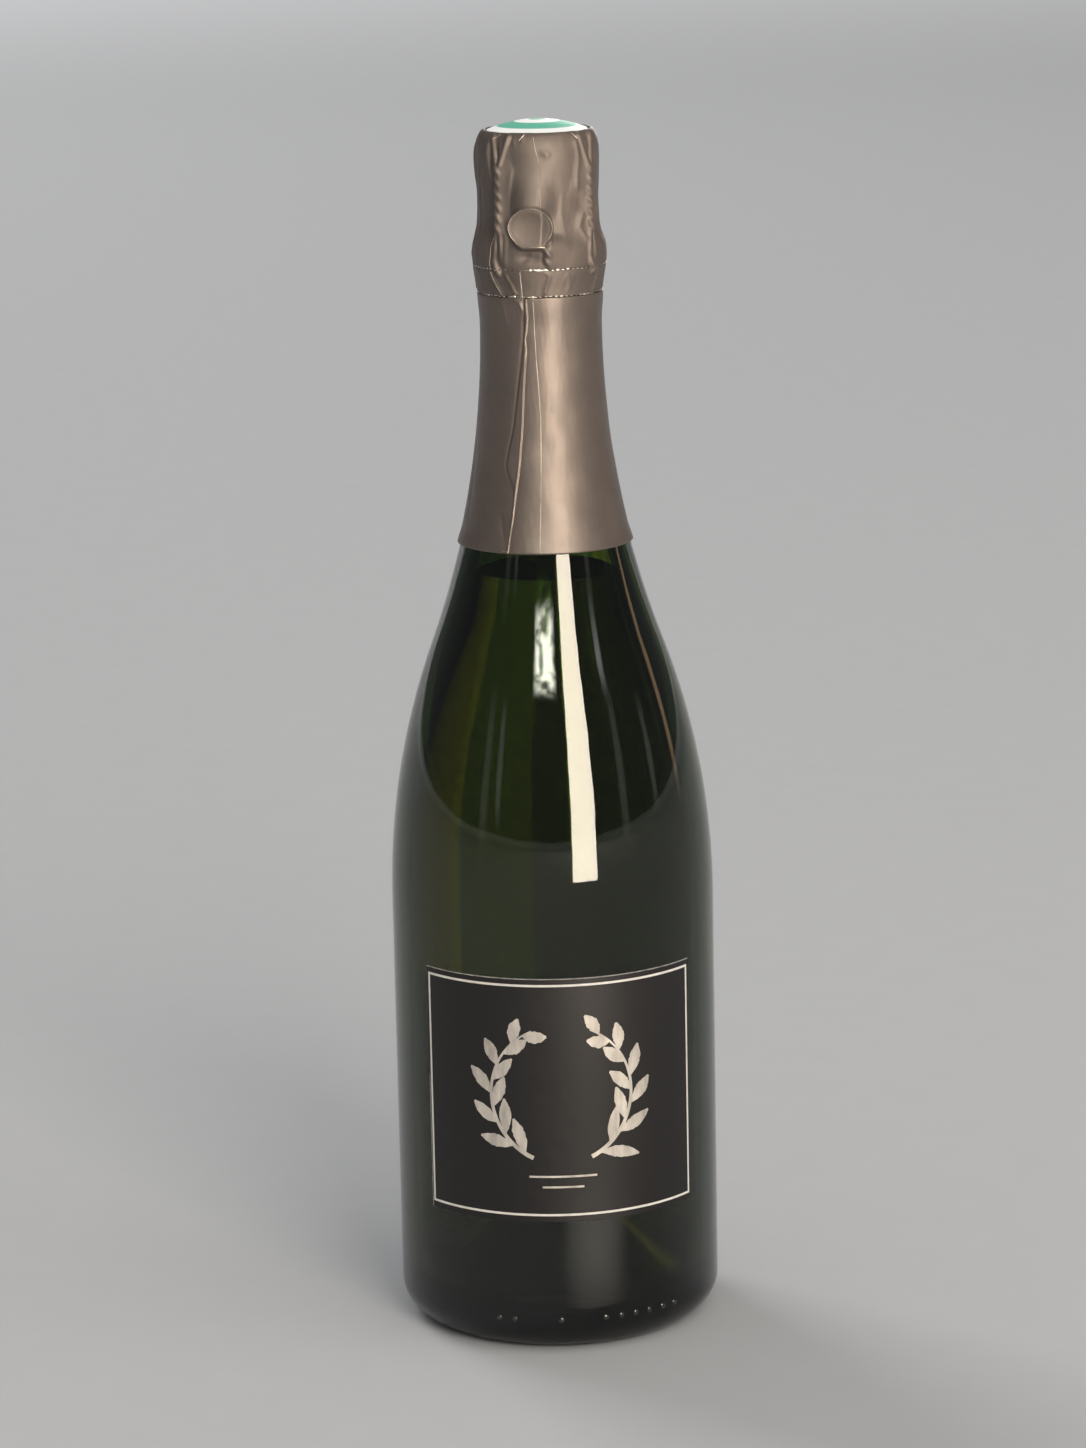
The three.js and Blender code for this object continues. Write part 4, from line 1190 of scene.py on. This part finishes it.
def nearAzimuths(edge, azimuths):
    angle = np.degrees(np.arctan2(edge[:, 0], -edge[:, 1]))
    return edge[[int(np.argmin(np.abs(angle - a))) for a in azimuths]]


def makeTornBits(name, spots, sizes, seed, body):
    piece = growStuds(name, spots, sizes, torn["vary"], seed, tornFoil)
    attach(piece, body)


makeTornBits("hoodPerforation", evenlyAlong(hoodEdge), torn["lip"], 3, "hood")
makeTornBits("stripPerforation", evenlyAlong(stripEdge), torn["lip"], 7, "bottle")
makeTornBits("hoodTornCrumbs", nearAzimuths(hoodEdge, torn["hoodCrumbs"]), torn["crumb"], 5, "hood")
makeTornBits("stripTornCrumbs", nearAzimuths(stripEdge, torn["stripCrumbs"]), torn["crumb"], 9, "bottle")
print("foil made")

# front label: paper, printed frame and a wreath of leaves
label = {
    "width": 79.5, "height": 66.6, "bottom": 37.1, "azimuth": 1.7, "glue": 0.1, "thickness": 0.15, "columns": 90,
    "rows": 48, "frameSide": 0.9, "frameTop": 1.9, "lineWidth": 0.62, "paleEdgeWidth": 0.26, "inkFoot": 0.005,
    "inkRise": 0.03, "inkGap": 0.004,
}
labelRadius = glass["bodyRadius"] + label["glue"] + label["thickness"]


def onLabel(across, up, lift=0.0):  # place on the label, from its lower middle
    azimuth = label["azimuth"] + np.degrees(np.asarray(across) / labelRadius)
    return polar(azimuth, labelRadius + lift, label["bottom"] + np.asarray(up))


def makeLabel():
    places = np.linspace(-0.5, 0.5, label["columns"]) * label["width"]
    across, up = np.meshgrid(places, np.linspace(0, label["height"], label["rows"]))
    face, back = onLabel(across, up), onLabel(across, up, -label["thickness"])
    rows, columns = across.shape
    half = rows * columns
    faces = gridQuads(rows, columns, False) + gridQuads(rows, columns, False, half, flip=True)
    sheets = len(faces)
    low = [(k, half + k, half + k + 1, k + 1) for k in range(columns - 1)]
    top = [(k + 1, half + k + 1, half + k, k) for k in range(half - columns, half - 1)]
    left = [(k + columns, half + k + columns, half + k, k) for k in range(0, half - columns, columns)]
    right = [(k, half + k, half + k + columns, k + columns) for k in range(columns - 1, half - 1, columns)]
    points = np.concatenate([face.reshape(-1, 3), back.reshape(-1, 3)])
    piece = meshPiece("frontLabel", points, faces + low + top + left + right, charcoalPaper)
    piece.data.materials.append(paperEdge)
    for polygon in piece.data.polygons[sheets:]:
        polygon.material_index = 1
    piece.data.set_sharp_from_angle(angle=math.radians(40))
    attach(piece, "bottle")
    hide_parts("front_label")


def ribbon(path, widths, points, faces):  # inked stroke: a strip of quads, closed on all sides
    path, widths = np.array(path, float), np.array(widths, float)
    run = np.gradient(path, axis=0)
    run /= np.linalg.norm(run, axis=1, keepdims=True)
    normal = np.stack([-run[:, 1], run[:, 0]], axis=1)
    lanes = np.linspace(-0.5, 0.5, 5)
    flat = path[:, None, :] + lanes[None, :, None] * widths[:, None, None] * normal[:, None, :]
    first, rows, columns = sum(len(p) for p in points), len(path), len(lanes)
    half = rows * columns
    for lift in (label["inkRise"], label["inkFoot"]):
        points.append(onLabel(flat[..., 0], flat[..., 1], lift).reshape(-1, 3))
    faces += gridQuads(rows, columns, False, first, flip=True) + gridQuads(rows, columns, False, first + half)
    rim = list(range(columns)) + [r * columns + columns - 1 for r in range(1, rows)]
    rim += [half - 1 - c for c in range(1, columns)] + [r * columns for r in range(rows - 2, 0, -1)]
    for a, b in zip(rim, rim[1:] + rim[:1]):
        faces.append((first + a, first + b, first + half + b, first + half + a))


def inkPiece(name, points, faces, finish):
    piece = tidyMesh(meshPiece(name, np.concatenate(points), faces, finish), 40)
    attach(piece, "bottle")


def makeFrameLine():
    points, faces = [], []
    wide, top = label["width"] / 2 - label["frameSide"], label["height"] - label["frameTop"]
    low, half = label["frameTop"], label["lineWidth"] / 2
    foot, head = low + half + label["inkGap"], top - half - label["inkGap"]  # sides stop just short
    for up in (low, top):
        ribbon([(a, up) for a in np.linspace(-wide - half, wide + half, 70)], [label["lineWidth"]] * 70, points, faces)
    for side in (-wide, wide):
        ribbon([(side, v) for v in np.linspace(foot, head, 40)], [label["lineWidth"]] * 40, points, faces)
    inkPiece("labelFrameLine", points, faces, frameInk)
    # pale lines along the label's top edge and the lower part of its left edge
    points, faces = [], []
    draw = np.random.default_rng(23)
    half, inset = label["width"] / 2, label["paleEdgeWidth"] / 2
    paleWidths = label["paleEdgeWidth"] * draw.uniform(0.35, 1.0, (2, 120))
    ribbon([(a, label["height"] - inset) for a in np.linspace(-half, half, 120)], paleWidths[0], points, faces)
    ribbon([(inset - half, v) for v in np.linspace(0, 0.55 * label["height"], 120)], paleWidths[1], points, faces)
    inkPiece("labelPaleEdgeLines", points, faces, paperEdge)


wreath = {
    "centre": (0, 35), "radius": 19, "from": 24, "to": 156, "stem": 0.9, "leaves": 11, "leafLength": 9.5,
    "leafWidth": 3.3, "leafLean": 0.62, "leafLeast": 0.15, "rules": ((12.5, 9), (9.6, 5.5)), "ruleWidth": 0.55,
}


def makeWreath():
    draw = np.random.default_rng(17)
    points, faces = [], []
    middle = np.array(wreath["centre"], float)
    for mirror in (-1, 1):
        turn = np.radians(np.linspace(wreath["from"], wreath["to"], 60))
        stem = middle + wreath["radius"] * np.stack([mirror * np.sin(turn), -np.cos(turn)], axis=1)
        ribbon(stem, wreath["stem"] * np.linspace(1.3, 0.5, 60), points, faces)
        for leaf in range(wreath["leaves"]):
            share = (leaf + 0.6) / wreath["leaves"]
            root = stem[int(share * 58)]
            ahead = stem[int(share * 58) + 1] - root
            turned = wreath["leafLean"] if leaf % 2 else -wreath["leafLean"]
            lean = math.atan2(ahead[1], ahead[0]) + turned * draw.uniform(0.8, 1.2)
            length = wreath["leafLength"] * (1.1 - 0.45 * share) * draw.uniform(0.9, 1.1)
            s = np.linspace(0, 1, 16)
            curl = lean + draw.uniform(-0.35, 0.35) * s
            path = root + np.cumsum(np.stack([np.cos(curl), np.sin(curl)], axis=1) * length / 15, axis=0)
            taper = np.sin(np.pi * np.clip(s, 0.03, 0.97)) ** 0.75
            width = wreath["leafWidth"] * taper * (1 + draw.uniform(-0.1, 0.1, 16))
            ribbon(path, np.maximum(width, wreath["leafLeast"]), points, faces)
    for up, half in wreath["rules"]:  # plain rules under the wreath: height, half length
        ribbon([(a, up) for a in np.linspace(-half, half, 24)], [wreath["ruleWidth"]] * 24, points, faces)
    inkPiece("labelWreath", points, faces, leafInk)


makeLabel()
makeFrameLine()
makeWreath()
print("label made")

# stage, lamps and world
stage = {
    "floorSize": 60, "floorDrop": 1e-4, "floorTone": 0.42, "farFloor": {"gain": 2.2, "reach": (3.8, 9.0)},
    "worldTone": (0.13, 0.134, 0.142),
    "strips": [  # name, azimuth, distance, height, width, tall, watts, colour, what sees it, softness of its edges
        ("keyStrip", 22.3, 0.452, 0.364, 0.1375, 0.572, 5.2, (1.0, 0.88, 0.72), "gloss", 0),
        ("windowCard", -3.6, 1.0, 0.755, 0.42, 0.35, 12.0, (1.0, 1.0, 0.85), "gloss", 0.8),
        ("leftStreak", -50, 0.9, 0.3, 0.12, 0.5, 0.07, (0.95, 1.0, 0.9), "gloss", 1),
        ("leftFaintStreak", -39, 0.9, 0.33, 0.08, 0.42, 0.065, (0.9, 1.0, 0.95), "gloss", 1),
        ("rightStreak", 55, 0.9, 0.3, 0.12, 0.5, 0.1, (1.0, 0.95, 0.85), "gloss", 1),
        ("rightUpperStreak", 53, 0.9, 0.74, 0.12, 0.56, 0.8, (0.95, 0.98, 0.95), "gloss", 1),
        ("rightFaintStreak", 84, 0.9, 0.25, 0.1, 0.3, 0.05, (1.0, 0.95, 0.88), "gloss", 1),
        ("farStreak", 110, 0.9, 0.32, 0.1, 0.5, 0.26, (1.0, 0.66, 0.34), "gloss", 1),
        ("heelGlow", 19, 0.076, 0.019, 0.054, 0.056, 0.034, (1.0, 0.9, 0.8), "gloss", 1.8),
        ("backStrip", 171, 0.9, 0.47, 0.3, 0.5, 5.0, (1.0, 0.96, 0.9), "sheen", 0.6),
        ("amberGlow", 158, 0.3, 0.11, 0.09, 0.2, 0.12, (1.0, 0.55, 0.2), "through", 0),
        ("greenGlow", 171, 0.3, 0.11, 0.07, 0.2, 0.03, (0.9, 1.0, 0.5), "through", 0),
    ],
    "rippled": {"windowCard": (2.2, 9, 1)},  # uneven panes: patches across and up the lamp
    "boxes": [  # name, place, size, watts, colour: large and far, for matt surfaces
        ("topBox", (0, 0, 4.5), 60.0, 3700.0, (1, 1, 1)),
        ("keyBox", (1.5, -3.7, 2.2), 1.8, 110.0, (1.0, 0.94, 0.86)),
        ("sideBox", (3.2, -2.6, 4.4), 6.0, 130.0, (1.0, 0.97, 0.93)),
        ("backBox", (-3.6, 4.6, 4.4), 3.0, 240.0, (0.97, 0.98, 1.0)),
    ],
}


def aimedLamp(name, place, target, width, tall, watts, colour, seenBy, soft=0):
    lamp = bpy.data.lights.new(name, "AREA")
    lamp.shape = "RECTANGLE"
    lamp.size, lamp.size_y = width, tall
    lamp.energy = watts
    lamp.color = colour
    if soft:  # fades towards its edges
        lamp.use_nodes = True
        tree = lamp.node_tree
        spread = tree.nodes.new("ShaderNodeNewGeometry").outputs["Parametric"]
        across = addNode(tree, "ShaderNodeSeparateXYZ", {"Vector": spread})
        shares = []
        for axis in ("X", "Y"):
            u = across.outputs[axis]
            hump = mathNode(tree, "MULTIPLY", u, mathNode(tree, "SUBTRACT", 1.0, u))
            shares.append(rangeOf(tree, hump, 0, 1, (0, soft / 4)))
        strength = mathNode(tree, "MULTIPLY", *shares)
        if name in stage["rippled"]:
            patches = addNode(tree, "ShaderNodeMapping", {"Vector": spread, "Scale": stage["rippled"][name]})
            grain = {"Vector": patches.outputs[0], "Scale": 1.0, "Detail": 4.0}
            noise = addNode(tree, "ShaderNodeTexNoise", grain).outputs["Fac"]
            strength = mathNode(tree, "MULTIPLY", strength, rangeOf(tree, noise, 0.08, 1.0, (0.36, 0.58)))
        tree.links.new(strength, tree.nodes["Emission"].inputs["Strength"])
    holder = bpy.data.objects.new(name, lamp)
    holder.location = place
    holder.rotation_euler = (Vector(target) - Vector(place)).to_track_quat("-Z", "Y").to_euler()
    holder.visible_camera = False
    holder.visible_diffuse = seenBy == "matt"
    holder.visible_glossy = seenBy in ("gloss", "sheen")
    holder.visible_transmission = seenBy in ("gloss", "through")
    scene.collection.objects.link(holder)


def makeStage():
    for name, azimuth, distance, height, width, tall, watts, colour, seenBy, soft in stage["strips"]:
        a = math.radians(azimuth)
        place = (distance * math.sin(a), -distance * math.cos(a), height)
        aimedLamp(name, place, (0, 0, height), width, tall, watts, colour, seenBy, soft)
    for name, place, size, watts, colour in stage["boxes"]:
        aimedLamp(name, place, (0, 0.001, 0), size, size, watts, colour, "matt")
    world = bpy.data.worlds.new("studio")
    world.use_nodes = True
    world.node_tree.nodes["Background"].inputs["Color"].default_value = (*stage["worldTone"], 1)
    scene.world = world
    finish, tree, shader = newFinish("paleFloor", {"Roughness": 0.9, "Specular IOR Level": 0.0})
    tone, far = stage["floorTone"], stage["farFloor"]
    grain = rampOf(tree, noiseOn(tree, 60, 6), [(0.3, [tone * 0.99] * 3), (0.7, [tone * 1.01] * 3)])
    reach = addNode(tree, "ShaderNodeVectorMath", {0: surfacePlace(tree)}, operation="LENGTH").outputs["Value"]
    share = rangeOf(tree, reach, 1.0, far["gain"], far["reach"])  # paler where the light falls off
    paler = addNode(tree, "ShaderNodeVectorMath", {0: grain, "Scale": share}, operation="SCALE").outputs["Vector"]
    tree.links.new(paler, shader.inputs["Base Color"])
    half = stage["floorSize"] / 2
    corners = [(x * half, y * half, -stage["floorDrop"]) for x, y in ((-1, -1), (1, -1), (1, 1), (-1, 1))]
    meshPiece("floor", corners, [(0, 1, 2, 3)], finish)


makeStage()
print("stage made")
